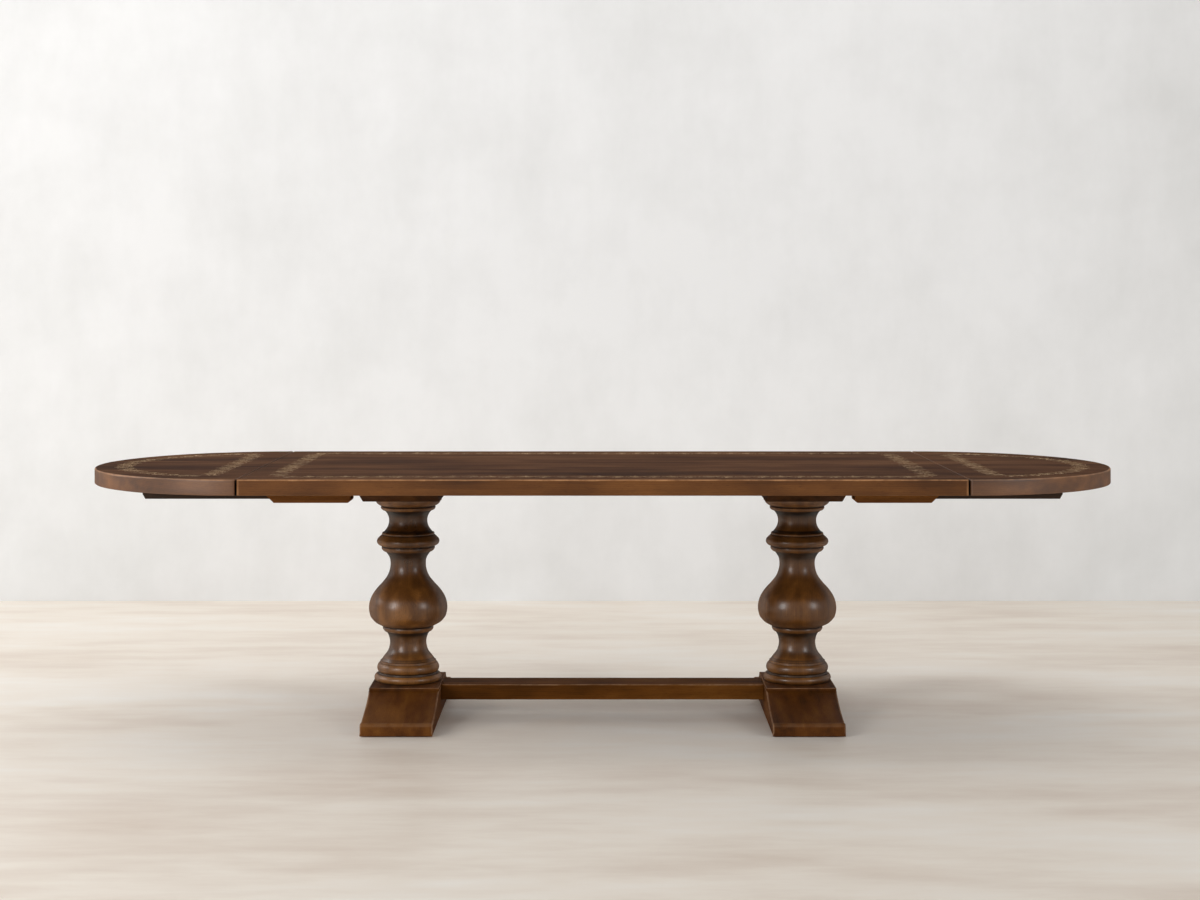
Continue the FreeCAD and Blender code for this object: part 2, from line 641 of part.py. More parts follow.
def make_barrel_nut(y):
    low = STRETCHER_MID - BARREL_NUT_LENGTH / 2
    high = STRETCHER_MID + BARREL_NUT_LENGTH / 2
    nut = upright(BARREL_NUT_X, y, low, high, BARREL_NUT_RADIUS)
    nut = nut.cut(lengthwise(BARREL_NUT_X - BARREL_NUT_RADIUS, BARREL_NUT_X + BARREL_NUT_RADIUS,
                             y, STRETCHER_MID, BOLT_RADIUS))
    return nut.cut(block(BARREL_NUT_X - BARREL_NUT_RADIUS, BARREL_NUT_X + BARREL_NUT_RADIUS,
                         y - BARREL_NUT_SLOT_WIDTH / 2, y + BARREL_NUT_SLOT_WIDTH / 2,
                         low, low + BARREL_NUT_SLOT_DEPTH))


def stretcher_hardware(make_one):
    solids = [make_one(-BOLT_Y), make_one(BOLT_Y)]
    return solids + [mirrored(solid, ALONG) for solid in solids]


# Rails and housings

def make_front_housing():
    half = HOUSING_WIDTH / 2
    y0 = -RAIL_Y - half
    points = [
        V(HOUSING_START, y0, TOP_UNDERSIDE), V(HOUSING_END, y0, TOP_UNDERSIDE),
        V(HOUSING_END - HOUSING_END_BEVEL, y0, HOUSING_BOTTOM), V(HOUSING_START, y0, HOUSING_BOTTOM),
        V(HOUSING_START, y0, TOP_UNDERSIDE),
    ]
    shape = Part.Face(Part.makePolygon(points)).extrude(ACROSS * HOUSING_WIDTH)
    shape = rounded(shape, HOUSING_START_ROUND, lambda box: (
        box.YLength > MATCH and level_at(box, HOUSING_BOTTOM) and box.XMax < HOUSING_START + MATCH))
    shape = rounded(shape, HOUSING_EDGE_ROUND, lambda box: (
        runs_along(box) and level_at(box, HOUSING_BOTTOM)))
    shape = shape.cut(block(HOUSING_START, HOUSING_END, -RAIL_Y - SLOT_HALF_WIDTH,
                            SLOT_HALF_WIDTH - RAIL_Y, SLOT_BOTTOM, TOP_UNDERSIDE))
    for x, y in housing_screw_places():
        shape = shape.cut(screw_way(x, y, HOUSING_BOTTOM, HOUSING_SCREW_SEAT_Z, TOP_UNDERSIDE,
                                    HOUSING_SCREW))
    return shape


def make_front_rail():
    # the part under the main top is lower by the sliding clearance
    y0 = -RAIL_Y - RAIL_WIDTH / 2
    points = [
        V(RAIL_START, y0, RAIL_BOTTOM), V(RAIL_END - RAIL_END_BEVEL_LENGTH, y0, RAIL_BOTTOM),
        V(RAIL_END, y0, RAIL_BOTTOM + RAIL_END_BEVEL_HEIGHT), V(RAIL_END, y0, TOP_UNDERSIDE),
        V(LEAF_START, y0, TOP_UNDERSIDE), V(LEAF_START, y0, RAIL_BEARING), V(RAIL_START, y0, RAIL_BEARING),
        V(RAIL_START, y0, RAIL_BOTTOM),
    ]
    shape = Part.Face(Part.makePolygon(points)).extrude(ACROSS * RAIL_WIDTH)
    shape = rounded(shape, RAIL_EDGE_ROUND, lambda box: (
        runs_along(box) and level_at(box, RAIL_BOTTOM)))
    for x, y in rail_screw_places():
        shape = shape.cut(screw_way(x, y, RAIL_BOTTOM, RAIL_SCREW_SEAT_Z, TOP_UNDERSIDE, RAIL_SCREW))
    return shape


def make_housing_screws():
    places = front_and_rear_places(housing_screw_places())
    return [pan_screw(x, y, HOUSING_SCREW_SEAT_Z, HOUSING_SCREW) for x, y in places]


def make_rail_screws():
    places = front_and_rear_places(rail_screw_places())
    return [pan_screw(x, y, RAIL_SCREW_SEAT_Z, RAIL_SCREW) for x, y in places]


# Dowels and bushes

def make_dowels():
    start = LEAF_START - DOWEL_LENGTH * (1 - DOWEL_SHARE_IN_LEAF)
    dowels = []
    for y in (-DOWEL_Y, 0, DOWEL_Y):
        dowel = lengthwise(start, start + DOWEL_LENGTH, y, TOP_MID, DOWEL_RADIUS)
        dowels.append(dowel.makeChamfer(DOWEL_TIP_CHAMFER, [
            edge for edge in dowel.Edges if edge.BoundBox.XLength < MATCH]))
    return dowels


def make_bushes():
    bore = DOWEL_RADIUS + BUSH_CLEARANCE
    bushes = []
    for y in (-DOWEL_Y, 0, DOWEL_Y):
        bush = lengthwise(TOP_END - BUSH_LENGTH, TOP_END, y, TOP_MID, BUSH_RADIUS)
        bushes.append(bush.cut(lengthwise(TOP_END - BUSH_LENGTH, TOP_END, y, TOP_MID, bore)))
    return bushes


# Latches: the right front one is drawn, the others are mirrored from it

def make_stud(x):
    head_top = LEVER_BOTTOM - LEVER_CLEARANCE
    stud = upright(x, -LATCH_Y, head_top, TOP_UNDERSIDE, STUD_RADIUS)
    head = upright(x, -LATCH_Y, head_top - STUD_HEAD_HEIGHT, head_top, STUD_HEAD_RADIUS)
    return stud.fuse(head).removeSplitter()


def make_plate(x, length):
    half = LATCH_PLATE_WIDTH / 2
    plate = block(x - length / 2, x + length / 2, -LATCH_Y - half, half - LATCH_Y,
                  PLATE_BOTTOM, TOP_UNDERSIDE)
    plate = rounded(plate, PLATE_CORNER_ROUND, stands_upright)
    plate = plate.cut(upright(x, -LATCH_Y, PLATE_BOTTOM, TOP_UNDERSIDE, STUD_RADIUS))
    for screw_x, screw_y in plate_screw_places(x, length):
        plate = plate.cut(flat_screw_body(screw_x, screw_y, PLATE_BOTTOM, PLATE_SCREW))
    return plate


def make_plate_screws(x, length):
    places = front_and_rear_places(plate_screw_places(x, length))
    return [flat_screw(screw_x, screw_y, PLATE_BOTTOM, PLATE_SCREW) for screw_x, screw_y in places]


def make_lever():
    # drawn closed, towards the leaf, then turned open towards the middle
    z0, z1 = LEVER_BOTTOM, LEVER_TOP
    arm = block(0, LATCH_REACH, -LEVER_HALF_WIDTH, LEVER_HALF_WIDTH, z0, z1)
    hub = upright(0, 0, z0, z1, LEVER_END_RADIUS)
    end = upright(LATCH_REACH, 0, z0, z1, LEVER_END_RADIUS)
    tail = block(-TAIL_LENGTH, 0, -TAIL_HALF_WIDTH, TAIL_HALF_WIDTH, z0, z1)
    tab = block(-TAIL_LENGTH, LEVER_THICKNESS - TAIL_LENGTH, -TAIL_HALF_WIDTH, TAIL_HALF_WIDTH,
                z0 - TAB_DROP, z1)
    lever = arm.fuse([hub, end, tail, tab]).removeSplitter()
    lever = rounded(lever, LEVER_THICKNESS / 2, lambda box: (
        level_at(box, z1) and box.XLength < MATCH and box.XMax < MATCH - TAIL_LENGTH))
    lever = lever.cut(upright(0, 0, z0, z1, STUD_RADIUS + LEVER_BORE_CLEARANCE))
    slot_half = STUD_RADIUS + LEVER_CLEARANCE
    swept = upright(0, 0, z0, z1, LATCH_REACH + slot_half)
    swept = swept.cut(upright(0, 0, z0, z1, LATCH_REACH - slot_half))
    mouth = block(0, LATCH_REACH + LEVER_END_RADIUS, -2 * LEVER_END_RADIUS, 0, z0, z1)
    lever = lever.cut(swept.common(mouth)).cut(upright(LATCH_REACH, 0, z0, z1, slot_half))
    lever.rotate(ORIGIN, UP, 90)
    lever.translate(V(LATCH_X, -LATCH_Y, 0))
    return lever


# Top and leaves

def plate_screw_cutters(x, length):
    places = front_and_rear_places(plate_screw_places(x, length))
    return [flat_screw_body(screw_x, screw_y, PLATE_BOTTOM, PLATE_SCREW) for screw_x, screw_y in places]


def top_cutters():
    # what is driven into the right half of the main top
    cutters = [screw_body(x, y, BEARER_SCREW_SEAT_Z, BEARER_SCREW) for x, y in bearer_screw_places()]
    for x, y in front_and_rear_places(housing_screw_places()):
        cutters.append(screw_body(x, y, HOUSING_SCREW_SEAT_Z, HOUSING_SCREW))
    for y in (-DOWEL_Y, 0, DOWEL_Y):
        cutters.append(lengthwise(TOP_END - BUSH_LENGTH, TOP_END, y, TOP_MID, BUSH_RADIUS))
        cutters.append(lengthwise(TOP_END - BUSH_LENGTH - BUSH_BORE_RELIEF, TOP_END, y, TOP_MID,
                                  DOWEL_RADIUS + BUSH_CLEARANCE))
    return cutters + plate_screw_cutters(LATCH_X, LATCH_PLATE_LENGTH)


def leaf_cutters():
    cutters = make_dowels()
    for x, y in front_and_rear_places(rail_screw_places()):
        cutters.append(screw_body(x, y, RAIL_SCREW_SEAT_Z, RAIL_SCREW))
    return cutters + plate_screw_cutters(KEEPER_X, KEEPER_PLATE_LENGTH)


def board_rounded(shape):
    shape = rounded(shape, TOP_UPPER_ROUND, stands_upright)
    shape = rounded(shape, TOP_UPPER_ROUND, lambda box: level_at(box, TABLE_HEIGHT))
    return rounded(shape, TOP_LOWER_ROUND, lambda box: level_at(box, TOP_UNDERSIDE))


def make_main_top():
    half = TOP_WIDTH / 2
    shape = board_rounded(block(-TOP_END, TOP_END, -half, half, TOP_UNDERSIDE, TABLE_HEIGHT))
    cutters = top_cutters()
    return shape.cut(cutters + [mirrored(cutter, ALONG) for cutter in cutters])


def leaf_curve(front, rear, tip, centre):
    # an ellipse is given by its longer axis first and starts on it
    if (rear - centre).Length >= (tip - centre).Length:
        return Part.ArcOfEllipse(Part.Ellipse(front, tip, centre), 0, math.pi).toShape()
    return Part.ArcOfEllipse(Part.Ellipse(tip, rear, centre), -math.pi / 2, math.pi / 2).toShape()


def make_leaf():
    half = TOP_WIDTH / 2
    front = V(LEAF_START, -half, TOP_UNDERSIDE)
    rear = V(LEAF_START, half, TOP_UNDERSIDE)
    centre = V(LEAF_START, 0, TOP_UNDERSIDE)
    tip = V(LEAF_START + LEAF_LENGTH, 0, TOP_UNDERSIDE)
    curve = leaf_curve(front, rear, tip, centre)
    face = Part.Face(Part.Wire([curve, Part.makeLine(rear, front)]))
    return board_rounded(face.extrude(UP * TOP_THICKNESS)).cut(leaf_cutters())


# Files

def save_trestles():
    save_pair("foot", [make_foot()])
    save_pair("foot_glides", [make_glide(x, y) for x, y in glide_places()])
    nails = [make_nail(x, y) for x, y in glide_places()]
    save("glide_nails", nails + [mirrored(nail, ALONG) for nail in nails])
    save_pair("column", [make_column()])
    save_pair("bearer", [make_bearer()])
    save_pair("bearer_screws", make_bearer_screws())
    save_pair("tie_rod", [make_tie_rod()])
    for name, solids in (("tie_rod_nuts", make_nuts()), ("tie_rod_washers", make_washers())):
        save(name, solids + [mirrored(solid, ALONG) for solid in solids])
    save("stretcher", [make_stretcher()])
    save("stretcher_bolts", stretcher_hardware(make_bolt))
    save("stretcher_bolt_washers", stretcher_hardware(make_bolt_washer))
    save("stretcher_bolt_plugs", stretcher_hardware(make_plug))
    save("stretcher_barrel_nuts", stretcher_hardware(make_barrel_nut))


def save_slides():
    housing = make_front_housing()
    rail = make_front_rail()
    save_pair("front_housing", [housing])
    save_pair("rear_housing", [mirrored(housing, ACROSS)])
    save_pair("front_rail", [rail])
    save_pair("rear_rail", [mirrored(rail, ACROSS)])
    save_pair("housing_screws", make_housing_screws())
    save_pair("rail_screws", make_rail_screws())
    save_pair("leaf_dowels", make_dowels())
    save_pair("dowel_bushes", make_bushes())


def save_latches():
    save("latch_plates", four_corners(make_plate(LATCH_X, LATCH_PLATE_LENGTH)))
    save("latch_pivots", four_corners(make_stud(LATCH_X)))
    screws = make_plate_screws(LATCH_X, LATCH_PLATE_LENGTH)
    save("latch_screws", screws + [mirrored(screw, ALONG) for screw in screws])
    lever = make_lever()
    save_pair("front_latch", [lever])
    save_pair("rear_latch", [mirrored(lever, ACROSS)])
    keeper = make_plate(KEEPER_X, KEEPER_PLATE_LENGTH)
    stud = make_stud(KEEPER_X)
    save_pair("keeper_plates", [keeper, mirrored(keeper, ACROSS)])
    save_pair("keeper_studs", [stud, mirrored(stud, ACROSS)])
    save_pair("keeper_screws", make_plate_screws(KEEPER_X, KEEPER_PLATE_LENGTH))


os.makedirs("parts", exist_ok=True)
save_trestles()
save_slides()
save_latches()
save("main_top", [make_main_top()])
save_pair("leaf", [make_leaf()])
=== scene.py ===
import bisect
import math
import random

import bmesh
import bpy
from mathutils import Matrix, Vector, noise


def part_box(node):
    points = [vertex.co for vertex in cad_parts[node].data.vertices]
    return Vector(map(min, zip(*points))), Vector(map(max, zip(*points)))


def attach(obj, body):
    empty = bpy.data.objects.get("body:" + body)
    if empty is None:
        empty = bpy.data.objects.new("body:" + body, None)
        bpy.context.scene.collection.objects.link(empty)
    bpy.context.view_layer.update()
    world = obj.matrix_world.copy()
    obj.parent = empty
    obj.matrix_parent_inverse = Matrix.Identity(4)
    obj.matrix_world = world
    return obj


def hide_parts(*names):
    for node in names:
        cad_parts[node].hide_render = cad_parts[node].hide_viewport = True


# Looks of the extending dining table, in metres. X runs along the table, the
# front faces -Y, Z is up and the origin is on the floor under the centre.

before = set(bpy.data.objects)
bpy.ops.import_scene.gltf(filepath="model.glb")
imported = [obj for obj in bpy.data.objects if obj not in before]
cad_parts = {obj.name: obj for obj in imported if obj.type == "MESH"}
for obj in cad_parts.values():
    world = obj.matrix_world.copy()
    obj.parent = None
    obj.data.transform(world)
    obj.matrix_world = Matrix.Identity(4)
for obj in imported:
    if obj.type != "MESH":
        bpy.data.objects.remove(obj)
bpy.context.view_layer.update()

MM = 0.001

# Camera
CAMERA_HEIGHT = 1.261
CAMERA_DISTANCE = 6.439
CAMERA_LENS = 62.69
CAMERA_SHIFT_X = -0.0022
CAMERA_SHIFT_Y = -0.1232

# Room
WALL_Y = 2.38
WALL_HALF_WIDTH = 9.0
WALL_HEIGHT = 6.0
FLOOR_HALF_WIDTH = 12.0
PLASTER_RELIEF = 2.0 * MM
FLOOR_RELIEF = 1.0 * MM

# Light. A lamp has a name, its place, the point it faces, a width, a height,
# its power in watts and its spread in degrees.
DAYLIGHT = 0.46
LAMPS = (
    ("front_left", (-4.0, -4.2, 2.3), (-0.2, 0, 0.6), 1.5, 2.2, 108, 180),
    ("left_far", (-6.5, 0.9, 3.2), (0, 0, 0.3), 2.2, 2.2, 105, 180),
    ("wall_top", (-0.6, 0.6, 4.6), (-0.3, WALL_Y, 0.6), 6.0, 0.8, 18, 110),
    ("right_far", (6.5, -5.5, 3.2), (0.5, 1.0, 0.6), 1.8, 2.6, 130, 180),
)

# Wood. Each kind of mark repeats so many times a metre, along and across the grain.
BEND_MARKS = (1.4, 5.0)
CLOUD_MARKS = (2.6, 7.0)
STREAK_MARKS = (1.3, 38.0)
FIBRE_MARKS = (7.0, 330.0)
PORE_MARKS = (55.0, 1300.0)
PORE_DEPTH = 0.6
GRAIN_BEND = 30.0 * MM
GRAIN_RELIEF = 0.2 * MM
RING_WIDTH = 5.2 * MM
BROAD_RING_WIDTH = 24.0 * MM
PITH_ASIDE = 90.0 * MM
PITH_BELOW = 50.0 * MM
BOARD_WIDTH = 140.0 * MM
COLUMN_BOARD_WIDTH = 85.0 * MM
BOARD_SHIFT = 700.0 * MM
MEAN_LOT = 0.5
WOOD_VALUE_START = -0.3

# Surface relief of the fittings
FINE_RELIEF = 0.1 * MM

# Boards
BOARD_SKIN = 0.3 * MM
BOARD_STEP = 7.0 * MM
BOARD_CORNER_ROUND = 7.0 * MM
UPPER_ROUND = 3.4 * MM
LOWER_ROUND = 2.0 * MM
CORNER_STEPS = 8

# Rounded and worn arrises
WORN_EXTRA_ROUND = 2.5 * MM
SHELTERED_ROUND = 0.8 * MM
ROUND_MARGIN = 1.5 * MM
ROUND_MARGIN_SHARE = 0.4
ROUND_STEPS = 5
SIDE_ROW_SHARES = (0.3, 0.7, 0.93)
ROOM_SHARE = 0.55
ROOM_GAP_SHARE = 0.5
ROOM_NEIGHBOURS = 10
SHARPEST_WORN_CORNER = 5.0 * MM
BLUNTEST_WORN_CORNER = 13.0 * MM
STRAIGHT_RADIUS = 1.0
LEAST_TURN = 1e-12
FACE_WAVE = 0.25 * MM
FACE_WAVES = 4

# Wear, from 0 to 1
WEAR_PATCH_LENGTH = 0.11
FINE_PATCH_SHARE = 0.25
PATCH_MEAN = 0.5
PATCH_WEIGHT = 0.7
FINE_PATCH_WEIGHT = 0.35
FINE_PATCH_SEED = 3
LOWER_PATCH_SEED = 11.0
LEAST_PATCH_WEAR = 0.55
WEAR_FULLNESS = 0.7
CORNER_WEAR = 0.55
LOW_ARRIS_WEAR = 0.15
SHELTERED_WEAR = 0.1

# Seeds of the pieces
MAIN_TOP_SEED = 1.0
LEAF_SEEDS = {-1: 3.0, 1: 5.0}
STRETCHER_SEED = 9.0
FOOT_SEED = 20.0
FOOT_CAP_SEED = 30.0
COLUMN_SEED = 40.0

# Bored holes
HOLE_SIDES = 40
HOLE_SHARP_ANGLE = 50
CUTTER_START_SHARE = 0.1
BUSH_HOLE_DEPTH = 31.0 * MM
TIE_ROD_WELL_RADIUS = 20.0 * MM
TIE_ROD_WELL_DEPTH = 27.0 * MM
NUT_WELL_RADIUS = 7.0 * MM
NUT_WELL_DEPTH = 37.5 * MM

# Feet
FOOT_FLAT_LENGTH = 279.0 * MM
FOOT_CAP_THICKNESS = 8.0 * MM
FOOT_CAP_ROUND = 1.5 * MM
FOOT_LEDGE = 3.0 * MM
SCOOP_SAG = 7.0 * MM
LIP_TOP = 39.5 * MM
LIP_ROUND = 11.0 * MM
LIP_CREASE_REACH = 8.0 * MM
LEDGE_ROUND = 1.5 * MM
FOOT_EDGE_ROUND = 5.0 * MM
FOOT_BOTTOM_ROUND = 2.0 * MM
FOOT_STEP = 8.0 * MM
SCOOP_STEPS = 24
LIP_STEPS = 12

# Stretcher
STRETCHER_ROUND = 2.5 * MM

# Outline of the column from its foot to its cap. The points are shares of the
# column's height and of the radius of its vase. Each run starts where the one
# below it ends, and a curve passes smoothly through its points.
COLUMN_START_SHARE = (0.0, 0.813)
CURVE = "curve"
STEPS = "steps"
MOULDING_SHARES = (
    # Lower torus and the groove above it
    (CURVE, ((0.02, 0.859), (0.04, 0.809))),
    (STEPS, ((0.04, 0.755), (0.048, 0.755), (0.048, 0.743))),
    # Upper torus and its fillet
    (CURVE, ((0.074, 0.79), (0.099, 0.734))),
    (STEPS, ((0.099, 0.71), (0.11, 0.71), (0.11, 0.685))),
    # Neck
    (CURVE, ((0.13, 0.625), (0.151, 0.543), (0.173, 0.491), (0.203, 0.463), (0.226, 0.473),
             (0.249, 0.506), (0.267, 0.568))),
    # Lower bead
    (STEPS, ((0.267, 0.593),)),
    (CURVE, ((0.282, 0.644), (0.294, 0.627))),
    # Vase
    (STEPS, ((0.294, 0.647),)),
    (CURVE, ((0.302, 0.715), (0.314, 0.82), (0.33, 0.9), (0.352, 0.967), (0.39, 1.0),
             (0.425, 0.98), (0.46, 0.916), (0.496, 0.797), (0.528, 0.659), (0.561, 0.539),
             (0.594, 0.474), (0.628, 0.45), (0.66, 0.468), (0.685, 0.536), (0.697, 0.593))),
    # Upper bead
    (STEPS, ((0.697, 0.614),)),
    (CURVE, ((0.711, 0.676), (0.724, 0.664))),
    # Ring and its fillet
    (CURVE, ((0.733, 0.751), (0.743, 0.788), (0.753, 0.797), (0.764, 0.78), (0.774, 0.737),
             (0.785, 0.68))),
    (STEPS, ((0.785, 0.652),)),
    (CURVE, ((0.792, 0.67), (0.799, 0.652))),
    # Cove
    (STEPS, ((0.799, 0.627),)),
    (CURVE, ((0.821, 0.546), (0.838, 0.507), (0.86, 0.487), (0.881, 0.498), (0.9, 0.536),
             (0.911, 0.576), (0.919, 0.622))),
    # Astragal, ovolo and the cap's fillet
    (STEPS, ((0.919, 0.647),)),
    (CURVE, ((0.931, 0.697), (0.941, 0.676))),
    (CURVE, ((0.948, 0.747), (0.958, 0.802), (0.972, 0.83))),
    (STEPS, ((0.972, 0.855), (1.0, 0.855))),
)
COLUMN_SEGMENTS = 144
COLUMN_CURVE_STEPS = 7
COLUMN_ARRIS_ROUND = 0.7 * MM
COLUMN_ARRIS_ROOM_SHARE = 1 / 2.2
COLUMN_ARRIS_STEPS = 3
COLUMN_LEAST_GAP = 1e-7
COLUMN_SMOOTH_ANGLE = 150
COLUMN_SHARP_ANGLE = 60
COLUMN_RIPPLE_SHARE = 0.0012
RIPPLES_AROUND = 2
RIPPLES_UPWARDS = 30

# Glaze left in the narrow hollows of the turning, painted shade in its wide hollows and on its
# undersides, and wear on its crests
NARROW_HOLLOW = 9.0 * MM
WIDE_HOLLOW = 34.0 * MM
FULL_GLAZE_AND_SHADE_DEPTH = 4.0 * MM
WIDE_HOLLOW_SHADE = 0.12
UNDERSIDE_SHADE = 0.6
FULL_CREST_HEIGHT = 3.0 * MM

# Vine border
VINE_EDGE_INSET = 98.0 * MM
VINE_END_INSET = 91.0 * MM
VINE_JOINT_INSET = 96.0 * MM
VINE_TIP_INSET = 86.0 * MM
VINE_CORNER_ROUND = 55.0 * MM
VINE_CURVE_ROUND = 250.0 * MM
VINE_CURVE_STEPS = 12
VINE_STEP = 3.0 * MM
VINE_RELIEF = 0.28 * MM
VINE_SINK = 0.1 * MM
WAVE_LENGTH = 104.0 * MM
WAVE_HEIGHT = 12.0 * MM
STEM_WIDTH = 1.8 * MM

# A tendril leaves the stem at the fork and winds round the blossom in each
# hollow of the wave. Places are shares of the wave's length and height.
FORK_SHARE = 0.04
HOLLOW_SHARES = (0.25, 0.3)
TENDRIL_WIDTH = 1.6 * MM
TENDRIL_START_SHARE = 1.1
TENDRIL_TAPER_SHARE = 0.5
TENDRIL_TURNS = 0.55
TENDRIL_INWARD_SHARE = 0.52
TENDRIL_FULLNESS = 0.8
TENDRIL_STEPS = 30
PETAL_LENGTH = 8.0 * MM
PETAL_WIDTH = 7.0 * MM
PETALS = 5
BERRY_RADIUS = 2.6 * MM
BERRY_SIDES = 10
# Share along the wave, share of its height, and size of each berry
BERRY_SHARES = ((0.0, 1.5, 1.0), (0.05, 1.9, 0.8), (0.46, 1.6, 1.0), (0.25, 2.5, 0.8), (0.5, -1.4, 0.9))

# Leaves of the vine
VINE_LEAF_LENGTH = 22.0 * MM
VINE_LEAF_WIDTH = 11.5 * MM
VINE_LEAF_STEPS = 8
VINE_LEAF_FULLNESS = 0.8
VINE_LEAF_LOBES = 5
VINE_LEAF_LOBE_SHARE = 0.22
VINE_LEAF_TIP_DROP_SHARE = 0.6
VINE_LEAF_SIZES = (0.8, 1.1)
VINE_LEAF_LEANS = (-0.2, 0.2)
OUTER_LEAF_CURL = 0.5
INNER_LEAF_CURL = -0.4
# Share along the wave, lean in radians and size of each leaf
OUTER_LEAF_SHARES = ((0.08, 0.8, 0.7), (0.2, 1.1, 0.85), (0.3, 1.9, 0.85), (0.42, 2.3, 0.7))
INNER_LEAF_SHARES = ((0.12, -0.7, 0.5), (0.38, -2.4, 0.5))

# Places taken from the frame
TOP_LOW, TOP_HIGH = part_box("main_top")
LEAF_LOW, LEAF_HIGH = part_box("right_leaf")
FOOT_LOW, FOOT_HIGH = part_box("right_foot")
BEARER_LOW, BEARER_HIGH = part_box("right_bearer")
COLUMN_LOW, COLUMN_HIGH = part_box("right_column")
STRETCHER_LOW, STRETCHER_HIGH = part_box("stretcher")
PLUG_LOW, PLUG_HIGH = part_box("stretcher_bolt_plugs")
NUT_LOW, NUT_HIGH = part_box("stretcher_barrel_nuts")
BUSH_LOW, BUSH_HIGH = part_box("right_dowel_bushes")

TRESTLE_X = (FOOT_LOW.x + FOOT_HIGH.x) / 2
FOOT_WIDTH = FOOT_HIGH.x - FOOT_LOW.x
HALF_DEPTH = (TOP_HIGH.y - TOP_LOW.y) / 2
LEAF_LENGTH = LEAF_HIGH.x - LEAF_LOW.x
VINE_LEVEL = TOP_HIGH.z - BOARD_SKIN
VASE_RADIUS = (COLUMN_HIGH.x - COLUMN_LOW.x) / 2
COLUMN_BOTTOM = FOOT_HIGH.z
COLUMN_HEIGHT = BEARER_LOW.z - COLUMN_BOTTOM
PLUG_RADIUS = (PLUG_HIGH.z - PLUG_LOW.z) / 2
PLUG_HOLE_DEPTH = 2 * PLUG_RADIUS
BOLT_Y = PLUG_HIGH.y - PLUG_RADIUS
BOLT_Z = (PLUG_LOW.z + PLUG_HIGH.z) / 2
NUT_X = NUT_HIGH.x - NUT_WELL_RADIUS
BUSH_RADIUS = (BUSH_HIGH.z - BUSH_LOW.z) / 2
BUSH_Y = BUSH_HIGH.y - BUSH_RADIUS
BUSH_Z = (BUSH_LOW.z + BUSH_HIGH.z) / 2


# Colours as seen, from 0 to 255

def linear(value):
    share = value / 255
    if share <= 0.04045:
        return share / 12.92
    return ((share + 0.055) / 1.055) ** 2.4


def tone(red, green, blue):
    return (linear(red), linear(green), linear(blue), 1.0)


def tones(*colours):
    return [tone(*colour) for colour in colours]


# Dark, middle and light of each wood
# The level faces take a darker, greyer copy of the edge walnut: painted shade on the tops
SHADED_FACE_WOOD = tones((50, 28, 16), (83, 52, 31), (110, 75, 49))
EDGE_WOOD = tones((58, 30, 6), (96, 56, 18), (128, 80, 34))
# Joint faces of the boards: near-black walnut, painted shade for the gap between top and leaf
JOINT_SHADE_WOOD = tones((20, 12, 6), (32, 20, 11), (44, 28, 16))
TURNED_WOOD = tones((48, 25, 7), (101, 62, 23), (146, 97, 46))
FOOT_WOOD = tones((44, 20, 4), (88, 48, 10), (118, 72, 25))
STRETCHER_WOOD = tones((50, 26, 6), (96, 56, 17), (124, 79, 33))
# Bearers: the frame's walnut darkened, painted shade under the top
SHADED_BEARER_WOOD = tones((38, 20, 7), (71, 41, 16), (96, 60, 27))
# Housings: the frame's walnut lightened, painted light where the top shades them
LIT_HOUSING_WOOD = tones((60, 34, 9), (116, 69, 25), (150, 96, 42))
WORN_BOARD = tone(208, 152, 102)
WORN_FRAME = tone(158, 122, 92)
WORN_TURNING = tone(160, 114, 66)
# Dark of the glaze in the turning's narrow hollows, also used as painted shade in wide hollows and on
# undersides
GLAZE_AND_SHADE = tone(20, 11, 5)

# Dark and light of the other surfaces
BRASS = tones((150, 118, 62), (200, 166, 98))
ZINC = tones((150, 152, 154), (196, 198, 200))
BRONZED_STEEL = tones((46, 38, 32), (84, 72, 60))
BLACK_PAINT = tones((38, 25, 15), (68, 48, 32))
SCRATCHED_PAINT = tone(74, 62, 50)
BEECH = tones((186, 150, 110), (214, 182, 142))
BEECH_FLECK = tone(150, 110, 74)
NYLON = tones((196, 190, 178), (222, 217, 206))
INLAY = tones((122, 92, 64), (170, 138, 100), (204, 176, 136))
RUBBED_INLAY = tone(80, 54, 36)
PLASTER = tones((232, 233, 233), (246, 247, 248))
FLOOR = tones((220, 203, 187), (240, 230, 217), (248, 244, 237))
WHITE = tone(255, 255, 255)


# Material helper

